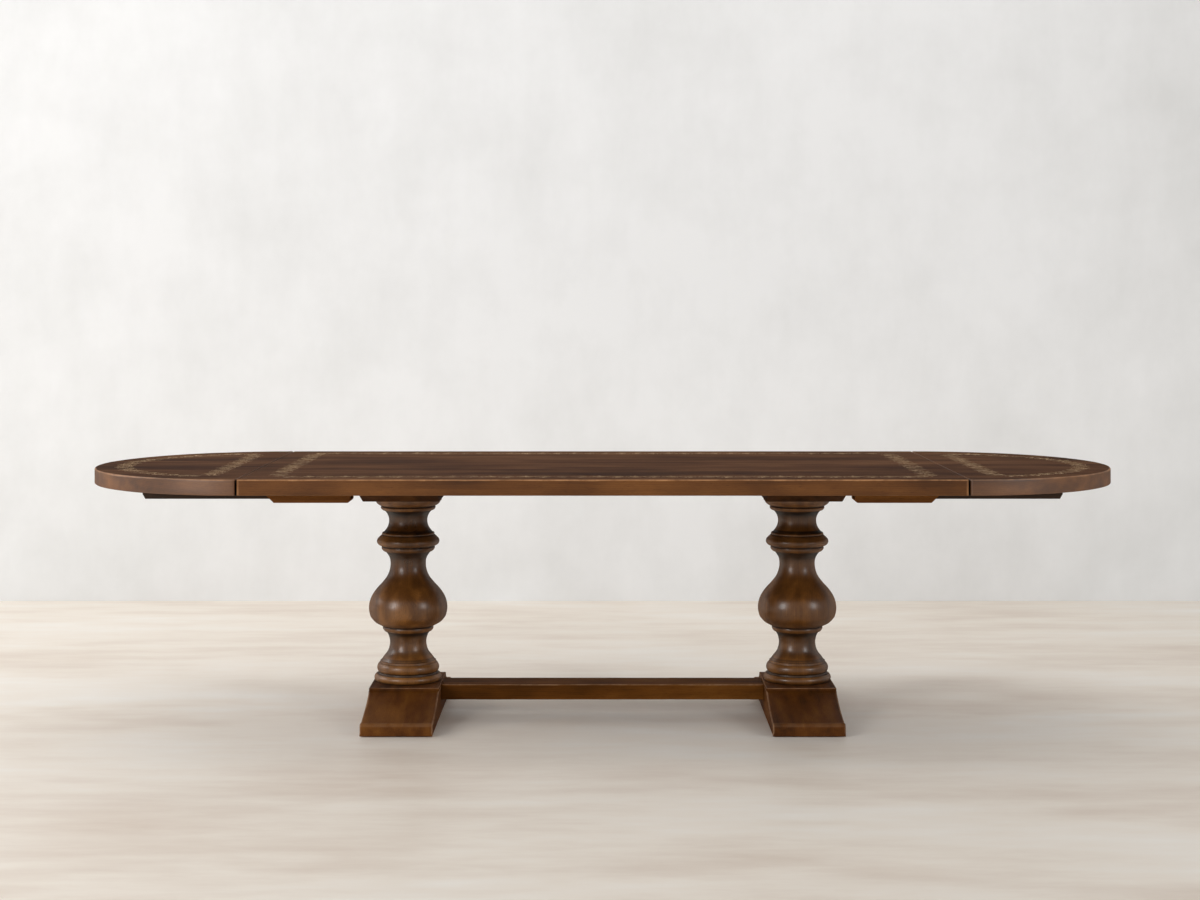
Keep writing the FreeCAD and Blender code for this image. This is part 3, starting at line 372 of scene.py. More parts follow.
class Finish:
    """One material and the nodes that it is made of."""

    def __init__(self, name):
        self.material = bpy.data.materials.new(name)
        self.material.use_nodes = True
        self.tree = self.material.node_tree
        self.tree.nodes.clear()
        self.output = self.node("OutputMaterial")
        self.shader = self.node("BsdfPrincipled")
        self.put(self.shader.outputs[0], self.output.inputs[0])
        self.place = self.node("TexCoord").outputs["Object"]

    def put(self, value, socket):
        if isinstance(value, bpy.types.NodeSocket):
            self.tree.links.new(value, socket)
        else:
            socket.default_value = value

    def node(self, kind, **values):
        node = self.tree.nodes.new("ShaderNode" + kind)
        for name, value in values.items():
            self.put(value, node.inputs[name.replace("_", " ")])
        return node

    def set(self, **values):
        for name, value in values.items():
            self.put(value, self.shader.inputs[name.replace("_", " ")])

    def stretch(self, vector, scale):
        return self.node("Mapping", Vector=vector, Scale=scale).outputs["Vector"]

    def add(self, one, two):
        node = self.node("VectorMath")
        self.put(one, node.inputs[0])
        self.put(two, node.inputs[1])
        return node.outputs[0]

    def parts(self, vector):
        return self.node("SeparateXYZ", Vector=vector).outputs

    def noise(self, scale, detail=4.0, roughness=0.55, place=None, output="Fac"):
        """Noise that repeats so many times a metre, all round or along each axis."""
        place = place or self.place
        if not isinstance(scale, float):
            place = self.stretch(place, scale)
            scale = 1.0
        node = self.node("TexNoise", Vector=place, Scale=scale, Detail=detail, Roughness=roughness)
        return node.outputs[output]

    def random(self, value):
        node = self.node("TexWhiteNoise")
        node.noise_dimensions = "1D"
        self.put(value, node.inputs["W"])
        return node.outputs["Value"]

    def math(self, operation, one, two=0.0):
        node = self.node("Math")
        node.operation = operation
        self.put(one, node.inputs[0])
        self.put(two, node.inputs[1])
        return node.outputs[0]

    def weighted(self, terms, start=0.0):
        """The start and the sum of its (value, weight) pairs."""
        total = start
        for value, weight in terms:
            total = self.math("ADD", total, self.math("MULTIPLY", value, weight))
        return total

    def spread(self, value, low, high, to_low=0.0, to_high=1.0):
        """Eases from one value to another while the given one goes from low to high."""
        node = self.node("MapRange", Value=value, From_Min=low, From_Max=high,
                         To_Min=to_low, To_Max=to_high)
        node.interpolation_type = "SMOOTHSTEP"
        return node.outputs["Result"]

    def ramp(self, value, places, colours):
        node = self.node("ValToRGB", Fac=value)
        elements = node.color_ramp.elements
        while len(elements) < len(colours):
            elements.new(0.5)
        for element, position, colour in zip(elements, places, colours):
            element.position = position
            element.color = colour
        return node.outputs["Color"]

    def mix(self, share, one, two):
        node = self.node("Mix")
        node.data_type = "RGBA"
        self.put(share, node.inputs["Factor"])
        colours = [socket for socket in node.inputs if socket.type == "RGBA"]
        self.put(one, colours[0])
        self.put(two, colours[1])
        return [socket for socket in node.outputs if socket.type == "RGBA"][0]

    def attribute(self, name):
        node = self.node("Attribute")
        node.attribute_name = name
        return node.outputs["Fac"]

    def bump(self, height, distance, strength):
        node = self.node("Bump", Height=height, Distance=distance, Strength=strength)
        return node.outputs["Normal"]

    def rougher_at_grazing(self, roughness, most=1.0):
        """Roughness that grows where the surface is seen very flat."""
        facing = self.node("LayerWeight", Blend=0.5).outputs["Facing"]
        flat = self.math("POWER", facing, 2.0)
        rest = self.math("SUBTRACT", most, roughness)
        return self.math("ADD", roughness, self.math("MULTIPLY", flat, rest))

    def clear_from_behind(self):
        """Lets the object be seen through the back of the room's planes."""
        choice = self.node("MixShader")
        self.put(self.node("NewGeometry").outputs["Backfacing"], choice.inputs[0])
        self.put(self.shader.outputs[0], choice.inputs[1])
        self.put(self.node("BsdfTransparent").outputs[0], choice.inputs[2])
        self.put(choice.outputs[0], self.output.inputs[0])


# Wood

def grain_scale(along, marks):
    """A scale that repeats the marks along and across the grain."""
    lengthwise, crosswise = marks
    scale = [crosswise] * 3
    scale["xyz".index(along)] = lengthwise
    return scale


def pith_distance(finish, across, through):
    """Distance from a pith that runs beside the piece."""
    across = finish.math("ADD", across, PITH_ASIDE)
    through = finish.math("ADD", through, PITH_BELOW)
    squares = finish.math("ADD", finish.math("MULTIPLY", across, across),
                          finish.math("MULTIPLY", through, through))
    return finish.math("SQRT", squares)


def wood(name, along, colours, boards, roughness, specular, relief=0.3):
    """Stained timber: growth rings, streaks, fibres, pores and clouded stain.

    boards gives the axis across which the boards are laid and their width.
    """
    finish = Finish(name)

    def marks(place, kind, detail=3.0, roughness=0.6, output="Fac"):
        return finish.noise(grain_scale(along, kind), detail, roughness, place, output)

    bend = marks(finish.place, BEND_MARKS, roughness=0.55, output="Color")
    bent = finish.add(finish.place, finish.stretch(bend, [GRAIN_BEND] * 3))
    across, through = [part for part, axis in zip(finish.parts(bent), "xyz") if axis != along]
    lot = MEAN_LOT
    if boards:
        board_axis, board_width = boards
        side = finish.parts(finish.place)["xyz".index(board_axis)]
        lot = finish.random(finish.math("FLOOR", finish.math("DIVIDE", side, board_width)))
        across = finish.math("ADD", across, finish.math("MULTIPLY", lot, BOARD_SHIFT))
    distance = pith_distance(finish, across, through)
    rings = finish.math("FRACT", finish.math("MULTIPLY", distance, 1 / RING_WIDTH))
    rings = finish.spread(rings, 0.2, 1.0)
    broad = finish.math("PINGPONG", finish.math("MULTIPLY", distance, 1 / BROAD_RING_WIDTH), 1.0)
    clouds = marks(finish.place, CLOUD_MARKS, roughness=0.55)
    streaks = marks(bent, STREAK_MARKS, detail=4.0)
    fibres = marks(finish.place, FIBRE_MARKS)
    pores = finish.spread(marks(bent, PORE_MARKS, detail=2.0), 0.56, 0.68)
    value = finish.weighted(((clouds, 0.9), (streaks, 0.45), (broad, 0.07), (rings, -0.05),
                             (fibres, 0.12), (lot, 0.13)), WOOD_VALUE_START)
    colour = finish.ramp(value, (0.26, 0.5, 0.74), colours)
    colour = finish.mix(finish.math("MULTIPLY", pores, PORE_DEPTH), colour, colours[0])
    dull = finish.weighted(((clouds, 0.2), (pores, 0.1)), roughness)
    height = finish.weighted(((streaks, 0.5), (pores, -0.6), (rings, -0.15)))
    finish.set(Normal=finish.bump(height, GRAIN_RELIEF, relief), Specular_IOR_Level=specular)
    return finish, colour, dull, clouds


def worn_edges(finish, colour, roughness, worn_colour, amount):
    """Finish rubbed off along the arrises, in patches; returns the colour and the roughness."""
    patches = finish.spread(finish.noise(26.0, 4.0, 0.65), 0.3, 0.62, 0.35, 1.0)
    rubbed = finish.math("MULTIPLY", finish.attribute("wear"), patches)
    rubbed = finish.math("MULTIPLY", rubbed, amount)
    return finish.mix(rubbed, colour, worn_colour), finish.weighted(((rubbed, 0.08),), roughness)


def make_board_wood(name, colours, roughness, specular, wear, relief=0.3):
    finish, colour, dull, _ = wood(name, "x", colours, ("y", BOARD_WIDTH), roughness, specular, relief)
    colour, dull = worn_edges(finish, colour, dull, WORN_BOARD, wear)
    finish.set(Base_Color=colour, Roughness=finish.rougher_at_grazing(dull))
    return finish.material


def make_frame_wood(name, along, colours, specular):
    finish, colour, dull, _ = wood(name, along, colours, None, 0.34, specular)
    colour, dull = worn_edges(finish, colour, dull, WORN_FRAME, 0.95)
    finish.set(Base_Color=colour, Roughness=finish.rougher_at_grazing(dull, 0.95))
    return finish.material


def make_turned_wood():
    finish, colour, dull, clouds = wood(
        "walnut_turned", "z", TURNED_WOOD, ("x", COLUMN_BOARD_WIDTH), 0.2, 0.55)
    colour, dull = worn_edges(finish, colour, dull, WORN_TURNING, 0.15)
    patches = finish.spread(clouds, 0.3, 0.6, 0.75, 1.0)
    # Glaze in the narrow hollows, and painted shade in the wide hollows and on the undersides
    colour = finish.mix(finish.math("MULTIPLY", finish.attribute("glaze"), patches), colour, GLAZE_AND_SHADE)
    finish.set(Base_Color=colour, Roughness=finish.rougher_at_grazing(dull, 0.9))
    return finish.material


# Other finishes

def make_inlay():
    """Pale inlay rubbed down to the wood in patches."""
    finish = Finish("vine_inlay")
    light = finish.ramp(finish.noise(40.0, 4.0, 0.6), (0.3, 0.5, 0.72), INLAY)
    flakes = finish.spread(finish.noise(70.0, 4.0, 0.7), 0.5, 0.62)
    areas = finish.spread(finish.noise(8.0, 4.0, 0.6), 0.46, 0.64)
    colour = finish.mix(finish.weighted(((flakes, 0.4), (areas, 0.6))), light, RUBBED_INLAY)
    grain = finish.noise((8.0, 300.0, 300.0), 3.0)
    finish.set(Base_Color=colour, Roughness=finish.rougher_at_grazing(0.55))
    finish.set(Specular_IOR_Level=0.2, Normal=finish.bump(grain, GRAIN_RELIEF, 0.3))
    return finish.material


def make_black_paint():
    finish = Finish("black_rail")
    clouds = finish.noise((3.0, 30.0, 30.0))
    scratches = finish.noise((5.0, 260.0, 260.0), 3.0, 0.6)
    colour = finish.ramp(clouds, (0.3, 0.7), BLACK_PAINT)
    colour = finish.mix(finish.spread(scratches, 0.66, 0.8, 0.0, 0.5), colour, SCRATCHED_PAINT)
    finish.set(Base_Color=colour, Roughness=finish.spread(clouds, 0.25, 0.75, 0.38, 0.55))
    finish.set(Normal=finish.bump(scratches, GRAIN_RELIEF, 0.3), Specular_IOR_Level=0.25)
    return finish.material


def make_metal(name, colours, roughness, marks_per_metre):
    finish = Finish(name)
    colour = finish.ramp(finish.noise(60.0, 5.0, 0.6), (0.3, 0.7), colours)
    marks = finish.noise((marks_per_metre, 40.0, 40.0), 3.0, 0.6)
    finish.set(Base_Color=colour, Metallic=1.0)
    finish.set(Roughness=finish.spread(marks, 0.3, 0.7, roughness - 0.08, roughness + 0.1))
    finish.set(Normal=finish.bump(marks, FINE_RELIEF, 0.25))
    return finish.material


def make_beech():
    finish = Finish("beech_dowel")
    flecks = finish.noise((60.0, 700.0, 700.0), 3.0, 0.6)
    bands = finish.noise((8.0, 160.0, 160.0), 3.0)
    colour = finish.ramp(bands, (0.3, 0.7), BEECH)
    colour = finish.mix(finish.spread(flecks, 0.55, 0.68, 0.0, 0.6), colour, BEECH_FLECK)
    finish.set(Base_Color=colour, Roughness=finish.spread(bands, 0.3, 0.7, 0.5, 0.65))
    finish.set(Normal=finish.bump(flecks, FINE_RELIEF, 0.3))
    return finish.material


def make_nylon():
    finish = Finish("nylon_glide")
    grit = finish.noise(1800.0, 2.0)
    colour = finish.ramp(finish.noise(120.0), (0.3, 0.7), NYLON)
    finish.set(Base_Color=colour, Roughness=finish.spread(grit, 0.3, 0.7, 0.5, 0.68))
    finish.set(Normal=finish.bump(grit, FINE_RELIEF, 0.2))
    return finish.material


def make_plaster():
    finish = Finish("pale_plaster")
    clouds = finish.noise(0.55, 4.0, 0.5)
    mottle = finish.noise(3.5, 5.0, 0.6)
    brush = finish.noise((6.0, 6.0, 1.6), 6.0, 0.65)
    value = finish.weighted(((clouds, 0.5), (mottle, 0.3), (brush, 0.2)))
    finish.set(Base_Color=finish.ramp(value, (0.35, 0.6), PLASTER))
    finish.set(Roughness=finish.spread(mottle, 0.2, 0.8, 0.8, 0.95))
    finish.set(Specular_IOR_Level=0.1, Normal=finish.bump(brush, PLASTER_RELIEF, 0.25))
    finish.clear_from_behind()
    return finish.material


def make_floor_finish():
    finish = Finish("pale_floor")
    clouds = finish.noise((0.5, 1.5, 1.0), 5.0)
    mottle = finish.noise((2.0, 7.0, 1.0), 5.0, 0.6)
    value = finish.weighted(((clouds, 0.6), (mottle, 0.4)))
    finish.set(Base_Color=finish.ramp(value, (0.32, 0.5, 0.68), FLOOR))
    finish.set(Roughness=finish.spread(mottle, 0.2, 0.8, 0.42, 0.62))
    finish.set(Specular_IOR_Level=0.5, Normal=finish.bump(mottle, FLOOR_RELIEF, 0.15))
    finish.clear_from_behind()
    return finish.material


shaded_face_wood = make_board_wood("walnut_face_shaded", SHADED_FACE_WOOD, 0.42, 0.06, 0.95)
top_edge_wood = make_board_wood("walnut_top_edge", EDGE_WOOD, 0.38, 0.3, 0.95)
# Painted shade on the board sides that face across the joint gap
joint_shade_wood = make_board_wood("walnut_joint_painted_shade", JOINT_SHADE_WOOD, 0.6, 0.05, 0.3)
leaf_edge_wood = make_board_wood("walnut_leaf_edge", EDGE_WOOD, 0.34, 0.8, 0.5, 0.12)
turned_wood = make_turned_wood()
foot_wood = make_frame_wood("walnut_foot", "y", FOOT_WOOD, 0.14)
stretcher_wood = make_frame_wood("walnut_lengthwise", "x", STRETCHER_WOOD, 0.04)
shaded_bearer_wood = make_frame_wood("walnut_bearer_painted_shade", "y", SHADED_BEARER_WOOD, 0.03)
lit_housing_wood = make_frame_wood("walnut_housing_painted_light", "x", LIT_HOUSING_WOOD, 0.12)
inlay = make_inlay()
black_paint = make_black_paint()
brass = make_metal("brass_bush", BRASS, 0.36, 200.0)
zinc = make_metal("zinc_steel", ZINC, 0.4, 300.0)
bronzed = make_metal("latch_steel", BRONZED_STEEL, 0.45, 180.0)
beech = make_beech()
nylon = make_nylon()


# Outlines: closed lists of points in one plane, anticlockwise

def direction(angle):
    return Vector((math.cos(angle), math.sin(angle)))


def on_circle(centre, radius, degrees):
    return centre + direction(math.radians(degrees)) * radius


def left_of(line):
    """The direction to the left of a line."""
    unit = line.normalized()
    return Vector((-unit.y, unit.x))


def triples(points):
    """Each point of a closed line between the one before it and the one after it."""
    return zip(points[-1:] + points[:-1], points, points[1:] + points[:1])


def mirrored(points):
    """The outline on the other side of the middle, still anticlockwise."""
    return [Vector((-point.x, point.y)) for point in reversed(points)]


def straight(start, end, step):
    """Points from the start towards the end, without the end."""
    count = max(1, round((end - start).length / step))
    return [start.lerp(end, index / count) for index in range(count)]


def arc(centre, radius, start, end, count):
    """Points from one angle to another, in degrees, without the last one."""
    return [on_circle(centre, radius, start + (end - start) * index / count) for index in range(count)]


def rectangle_outline(half_length, half_width, radius, step, centre=Vector((0, 0))):
    corners = []
    for x_side, y_side, start in ((-1, -1, 180), (1, -1, 270), (1, 1, 0), (-1, 1, 90)):
        reach = Vector((x_side * (half_length - radius), y_side * (half_width - radius)))
        corners.append((centre + reach, start))
    points = []
    for index, (middle, start) in enumerate(corners):
        next_middle, next_start = corners[(index + 1) % len(corners)]
        points += arc(middle, radius, start, start + 90, CORNER_STEPS)
        points += straight(on_circle(middle, radius, start + 90),
                           on_circle(next_middle, radius, next_start), step)
    return points


def half_ellipse(length, half_width, first, count):
    """Points round a right leaf, from the first angle at the front to the same at the rear."""
    points = []
    for index in range(count + 1):
        angle = first + (math.pi - 2 * first) * index / count
        points.append(Vector((LEAF_LOW.x + length * math.sin(angle), -half_width * math.cos(angle))))
    return points


def leaf_outline(side):
    """Half an ellipse with its straight side at the joint; side is 1 at the right and -1 at the left."""
    start = LEAF_LOW.x
    radius = BOARD_CORNER_ROUND
    points = arc(Vector((start + radius, radius - HALF_DEPTH)), radius, 180, 270, CORNER_STEPS)
    count = round(math.pi / 2 * (HALF_DEPTH + LEAF_LENGTH) / BOARD_STEP)
    points += half_ellipse(LEAF_LENGTH, HALF_DEPTH, math.asin(radius / LEAF_LENGTH), count)
    points += arc(Vector((start + radius, HALF_DEPTH - radius)), radius, 90, 180, CORNER_STEPS)
    joint_end = Vector((start, HALF_DEPTH - radius))
    points += straight(joint_end, Vector((start, radius - HALF_DEPTH)), BOARD_STEP)
    return points if side > 0 else mirrored(points)


def corner_rounded(points, radii, step):
    """The polygon with its corners rounded, and its sides divided."""
    corners = []
    for radius, (last_corner, corner, next_corner) in zip(radii, triples(points)):
        before = (last_corner - corner).normalized()
        after = (next_corner - corner).normalized()
        half_angle = before.angle(after) / 2
        reach = radius / math.tan(half_angle) if radius else 0.0
        first = corner + before * reach
        last = corner + after * reach
        curve = []
        if radius:
            centre = corner + (before + after).normalized() * (radius / math.sin(half_angle))
            for part in range(CORNER_STEPS):
                turned = (first - centre).slerp(last - centre, part / CORNER_STEPS)
                curve.append(centre + turned.normalized() * radius)
        corners.append((first, curve, last))
    result = []
    for index, (_, curve, last) in enumerate(corners):
        next_first = corners[(index + 1) % len(corners)][0]
        result += curve + straight(last, next_first, step)
    return result


# Meshes

def make_piece(name, vertices, faces, materials=(), kinds=(), smooth=True, **attributes):
    """A mesh in the scene with its faces turned outwards. kinds holds each face's material."""
    mesh = bpy.data.meshes.new(name)
    mesh.from_pydata(vertices, [], faces)
    for material in materials:
        mesh.materials.append(material)
    if kinds:
        mesh.polygons.foreach_set("material_index", kinds)
    for attribute, values in attributes.items():
        layer = mesh.attributes.new(attribute, "FLOAT", "POINT")
        layer.data.foreach_set("value", values)
    work = bmesh.new()
    work.from_mesh(mesh)
    bmesh.ops.recalc_face_normals(work, faces=work.faces)
    for face in work.faces:
        face.smooth = smooth
    work.to_mesh(mesh)
    work.free()
    piece = bpy.data.objects.new(name, mesh)
    bpy.context.scene.collection.objects.link(piece)
    return piece


def ring_faces(rings, count):
    """Faces between rings of so many points each, and over the two ends."""
    faces = []
    for ring in range(rings - 1):
        for index in range(count):
            a = ring * count + index
            b = ring * count + (index + 1) % count
            faces.append((a, b, b + count, a + count))
    last = (rings - 1) * count
    faces.append(tuple(reversed(range(count))))
    faces.append(tuple(range(last, last + count)))
    return faces


def make_cutter(name, start, drive, radius, depth):
    """A round bar that starts a little outside the face it is driven into."""
    turn = drive.to_track_quat("Z", "Y")
    vertices = []
    for level in (-CUTTER_START_SHARE * radius, depth):
        for index in range(HOLE_SIDES):
            x, y = direction(2 * math.pi * index / HOLE_SIDES) * radius
            vertices.append(start + turn @ Vector((x, y, level)))
    return make_piece(name, vertices, ring_faces(2, HOLE_SIDES), smooth=False)


def bored(piece, bores):
    """Cuts the holes and keeps the result as the piece's own mesh."""
    for number, bore in enumerate(bores):
        cutter = make_cutter(piece.name + "_cutter_" + str(number), *bore)
        modifier = piece.modifiers.new("hole", "BOOLEAN")
        modifier.operation = "DIFFERENCE"
        modifier.solver = "EXACT"
        modifier.object = cutter
        graph = bpy.context.evaluated_depsgraph_get()
        mesh = bpy.data.meshes.new_from_object(piece.evaluated_get(graph))
        piece.modifiers.clear()
        piece.data = mesh
        used = cutter.data
        bpy.data.objects.remove(cutter)
        bpy.data.meshes.remove(used)
    piece.data.set_sharp_from_angle(angle=math.radians(HOLE_SHARP_ANGLE))
    return piece


# Solids with softened, unevenly worn arrises

def slow_noise(x, y, z):
    """A slowly changing value round the middle of 0 to 1."""
    return 0.5 + 0.5 * noise.noise(Vector((x, y, z)))


def patchiness(point, seed):
    """A slow random value from 0 to 1 along an arris."""
    broad = noise.noise(Vector((point.x, point.y, seed)) / WEAR_PATCH_LENGTH)
    fine_length = WEAR_PATCH_LENGTH * FINE_PATCH_SHARE
    fine = noise.noise(Vector((point.x, point.y, seed + FINE_PATCH_SEED)) / fine_length)
    return min(1.0, max(0.0, PATCH_MEAN + PATCH_WEIGHT * broad + FINE_PATCH_WEIGHT * fine))


def inward_normals(points):
    return [left_of(after - before) for before, _, after in triples(points)]


def corner_radii(points):
    """Radius of the outline at each point, or a large one where it is straight or hollow."""
    radii = []
    for a, b, c in triples(points):
        turn = (b.x - a.x) * (c.y - b.y) - (b.y - a.y) * (c.x - b.x)
        sides = (b - a).length * (c - b).length * (c - a).length
        radii.append(sides / (2 * turn) if turn > LEAST_TURN else STRAIGHT_RADIUS)
    return radii


def local_room(points, radii, wanted):
    """How far each point may move inwards before its neighbours cross."""
    rooms = []
    for index, point in enumerate(points):
        room = wanted[index]
        for step in range(-ROOM_NEIGHBOURS, ROOM_NEIGHBOURS + 1):
            other = (index + step) % len(points)
            gap = (points[other] - point).length
            room = min(room, ROOM_SHARE * radii[other] + ROOM_GAP_SHARE * gap)
        rooms.append(room)
    return rooms


def nowhere(_normal):
    return False


def slab_rows():
    """The rings of a slab from its lower to its upper face, each with its step or share."""
    rows = [("low", step) for step in range(-1, ROUND_STEPS + 1)]
    rows += [("side", share) for share in SIDE_ROW_SHARES]
    return rows + [("high", step) for step in range(ROUND_STEPS, -2, -1)]


def slab_materials(rows, hidden, last_material):
    """The material number of each face of a slab."""
    kinds = []
    for row in range(len(rows) - 1):
        level = row in (0, len(rows) - 2)
        below_arris = rows[row + 1][0] != "high"
        for index in range(len(hidden)):
            between = hidden[index] and hidden[(index + 1) % len(hidden)] and below_arris
            side_material = 1 if between else last_material
            kinds.append(0 if level else side_material)
    return kinds + [0, 0]


def worn_slab(name, outline, levels, rounds, place, seed, materials, extra=WORN_EXTRA_ROUND,
              sheltered=nowhere, low_wear=LOW_ARRIS_WEAR, corner_wear=CORNER_WEAR):
    """A solid between two levels of an outline, with softened and worn arrises.

    place turns (along, across, level) into a point. The first material is for
    the level faces and the last for the sides; one between them, painted dark as
    shade in the joint gap, is for the sheltered sides, up to the last row below
    the arris. sheltered says where, by the inward normal, the arris is hardly worn.
    """
    low, high = levels
    normals = inward_normals(outline)
    hidden = [sheltered(normal) for normal in normals]
    radii = corner_radii(outline)
    arris = {}
    patches = {}
    for kind, radius, shift in (("low", rounds[0], LOWER_PATCH_SEED), ("high", rounds[1], 0.0)):
        patches[kind] = [patchiness(point, seed + shift) for point in outline]
        wanted = []
        for covered, patch in zip(hidden, patches[kind]):
            wanted.append(SHELTERED_ROUND if covered else radius + extra * patch ** 2)
        arris[kind] = local_room(outline, radii, wanted)
    rows = slab_rows()
    vertices = []
    wear = []
    for kind, step in rows:
        for index, point in enumerate(outline):
            inset = FACE_WAVE * slow_noise(point.x * FACE_WAVES, point.y * FACE_WAVES, seed)
            at_corner = SHARPEST_WORN_CORNER < radii[index] < BLUNTEST_WORN_CORNER
            corner = corner_wear * patches["high"][index] if at_corner else 0.0
            if kind == "side":
                bottom = low + arris["low"][index]
                top = high - arris["high"][index]
                level = bottom + (top - bottom) * step
                strength = corner
            else:
                radius = arris[kind][index]
                angle = math.radians(90 * max(step, 0) / ROUND_STEPS)
                margin = min(ROUND_MARGIN, ROUND_MARGIN_SHARE * radius) if step < 0 else 0.0
                inset += radius * (1 - math.sin(angle)) + margin
                rise = radius * (1 - math.cos(angle))
                level = low + rise if kind == "low" else high - rise
                strength = math.sin(2 * angle) ** WEAR_FULLNESS if step >= 0 else 0.0
                strength *= LEAST_PATCH_WEAR + (1 - LEAST_PATCH_WEAR) * patches[kind][index]
                strength *= SHELTERED_WEAR if hidden[index] else 1.0
                strength *= low_wear if kind == "low" else 1.0
                strength = max(strength, corner * math.sin(angle))
            flat = point + normals[index] * inset
            vertices.append(place(flat.x, flat.y, level))
            wear.append(strength)
    kinds = slab_materials(rows, hidden, len(materials) - 1)
    return make_piece(name, vertices, ring_faces(len(rows), len(outline)), materials, kinds, wear=wear)


# Boards

def flat_place(x, y, level):
    return Vector((x, y, level))


def make_main_top():
    outline = rectangle_outline(TOP_HIGH.x, TOP_HIGH.y, BOARD_CORNER_ROUND, BOARD_STEP)
    piece = worn_slab("main_top_board", outline, (TOP_LOW.z, TOP_HIGH.z - BOARD_SKIN),
                      (LOWER_ROUND, UPPER_ROUND), flat_place, MAIN_TOP_SEED,
                      (shaded_face_wood, joint_shade_wood, top_edge_wood),
                      sheltered=lambda normal: abs(normal.x) > 0.95)
    bores = []
    for side in (-1, 1):
        for y in (-BUSH_Y, 0.0, BUSH_Y):
            start = Vector((side * TOP_HIGH.x, y, BUSH_Z))
            bores.append((start, Vector((-side, 0, 0)), BUSH_RADIUS, BUSH_HOLE_DEPTH))
    return bored(piece, bores)


def make_leaf(name, side):
    return worn_slab(name, leaf_outline(side), (LEAF_LOW.z, LEAF_HIGH.z - BOARD_SKIN),
                     (LOWER_ROUND, UPPER_ROUND), flat_place, LEAF_SEEDS[side],
                     (shaded_face_wood, joint_shade_wood, leaf_edge_wood),
                     sheltered=lambda normal: normal.x * side > 0.95, corner_wear=0.0)


# Feet

def sagging_arc(start, end, sag, steps):
    """Points between the ends of an arc that bows to the left of its chord."""
    chord = end - start
    radius = (chord.length_squared / 4 + sag * sag) / (2 * sag)
    centre = (start + end) / 2 - left_of(chord) * (radius - sag)
    one = start - centre
    two = end - centre
    return [centre + one.slerp(two, part / steps).normalized() * radius for part in range(1, steps)]


def foot_outline():
    """Side view of the foot under its cap: depth and height."""
    tip = FOOT_HIGH.y
    centre = Vector((tip - LIP_ROUND, LIP_TOP - LIP_ROUND))
    turn = 180 - math.degrees(math.acos(LIP_CREASE_REACH / LIP_ROUND))
    crease = on_circle(centre, LIP_ROUND, turn)
    ledge = Vector((FOOT_FLAT_LENGTH / 2 + FOOT_LEDGE, FOOT_HIGH.z - FOOT_CAP_THICKNESS))
    curves = arc(centre, LIP_ROUND, 0, turn, LIP_STEPS) + [crease]
    curves += sagging_arc(crease, ledge, SCOOP_SAG, SCOOP_STEPS)
    half = [Vector((tip, FOOT_LOW.z))] + curves + [ledge]
    rounds = [FOOT_BOTTOM_ROUND] + [0.0] * len(curves) + [LEDGE_ROUND]
    return corner_rounded(half + mirrored(half), rounds + list(reversed(rounds)), FOOT_STEP)


def make_foot(name, side):
    def place(depth, height, level):
        return Vector((side * FOOT_LOW.x + side * level, depth, height))

    piece = worn_slab(name, foot_outline(), (0.0, FOOT_WIDTH), (FOOT_EDGE_ROUND, FOOT_EDGE_ROUND), place,
                      FOOT_SEED + side, (foot_wood,), WORN_EXTRA_ROUND / 2, low_wear=1.0)
    well = Vector((side * TRESTLE_X, 0, FOOT_LOW.z))
    bores = [(well, Vector((0, 0, 1)), TIE_ROD_WELL_RADIUS, TIE_ROD_WELL_DEPTH)]
    for y in (-BOLT_Y, BOLT_Y):
        start = Vector((side * FOOT_HIGH.x, y, BOLT_Z))
        bores.append((start, Vector((-side, 0, 0)), PLUG_RADIUS, PLUG_HOLE_DEPTH))
    return bored(piece, bores)


def make_foot_cap(name, side):
    outline = rectangle_outline(FOOT_WIDTH / 2, FOOT_FLAT_LENGTH / 2, 2 * FOOT_CAP_ROUND, FOOT_STEP,
                                Vector((side * TRESTLE_X, 0)))
    low = FOOT_HIGH.z - FOOT_CAP_THICKNESS - FOOT_CAP_ROUND
    return worn_slab(name, outline, (low, FOOT_HIGH.z), (FOOT_CAP_ROUND, FOOT_CAP_ROUND), flat_place,
                     FOOT_CAP_SEED + side, (foot_wood,), FOOT_CAP_ROUND)


# Stretcher

def make_stretcher():
    outline = rectangle_outline(FOOT_LOW.x, STRETCHER_HIGH.y, STRETCHER_ROUND, BOARD_STEP)
    piece = worn_slab("stretcher_bar", outline, (STRETCHER_LOW.z, STRETCHER_HIGH.z),
                      (STRETCHER_ROUND, STRETCHER_ROUND), flat_place, STRETCHER_SEED, (stretcher_wood,))
    bores = []
    for x in (-NUT_X, NUT_X):
        for y in (-BOLT_Y, BOLT_Y):
            start = Vector((x, y, STRETCHER_LOW.z))
            bores.append((start, Vector((0, 0, 1)), NUT_WELL_RADIUS, NUT_WELL_DEPTH))
    return bored(piece, bores)


# Columns

def column_point(share):
    return Vector((VASE_RADIUS * share[1], COLUMN_BOTTOM + COLUMN_HEIGHT * share[0]))


def smooth_run(points):
    """A curve through the points that leaves its ends as a parabola would."""
    if len(points) == 2:
        return points
    first = points[0] * 3 - points[1] * 3 + points[2]
    last = points[-1] * 3 - points[-2] * 3 + points[-3]
    padded = [first] + points + [last]
    run = []
    for index in range(1, len(padded) - 2):
        a, b, c, d = padded[index - 1:index + 3]
        for step in range(COLUMN_CURVE_STEPS):
            t = step / COLUMN_CURVE_STEPS
            run.append(0.5 * (2 * b + (c - a) * t + (2 * a - 5 * b + 4 * c - d) * t ** 2
                              + (3 * b - a - 3 * c + d) * t ** 3))
    return run + [points[-1]]


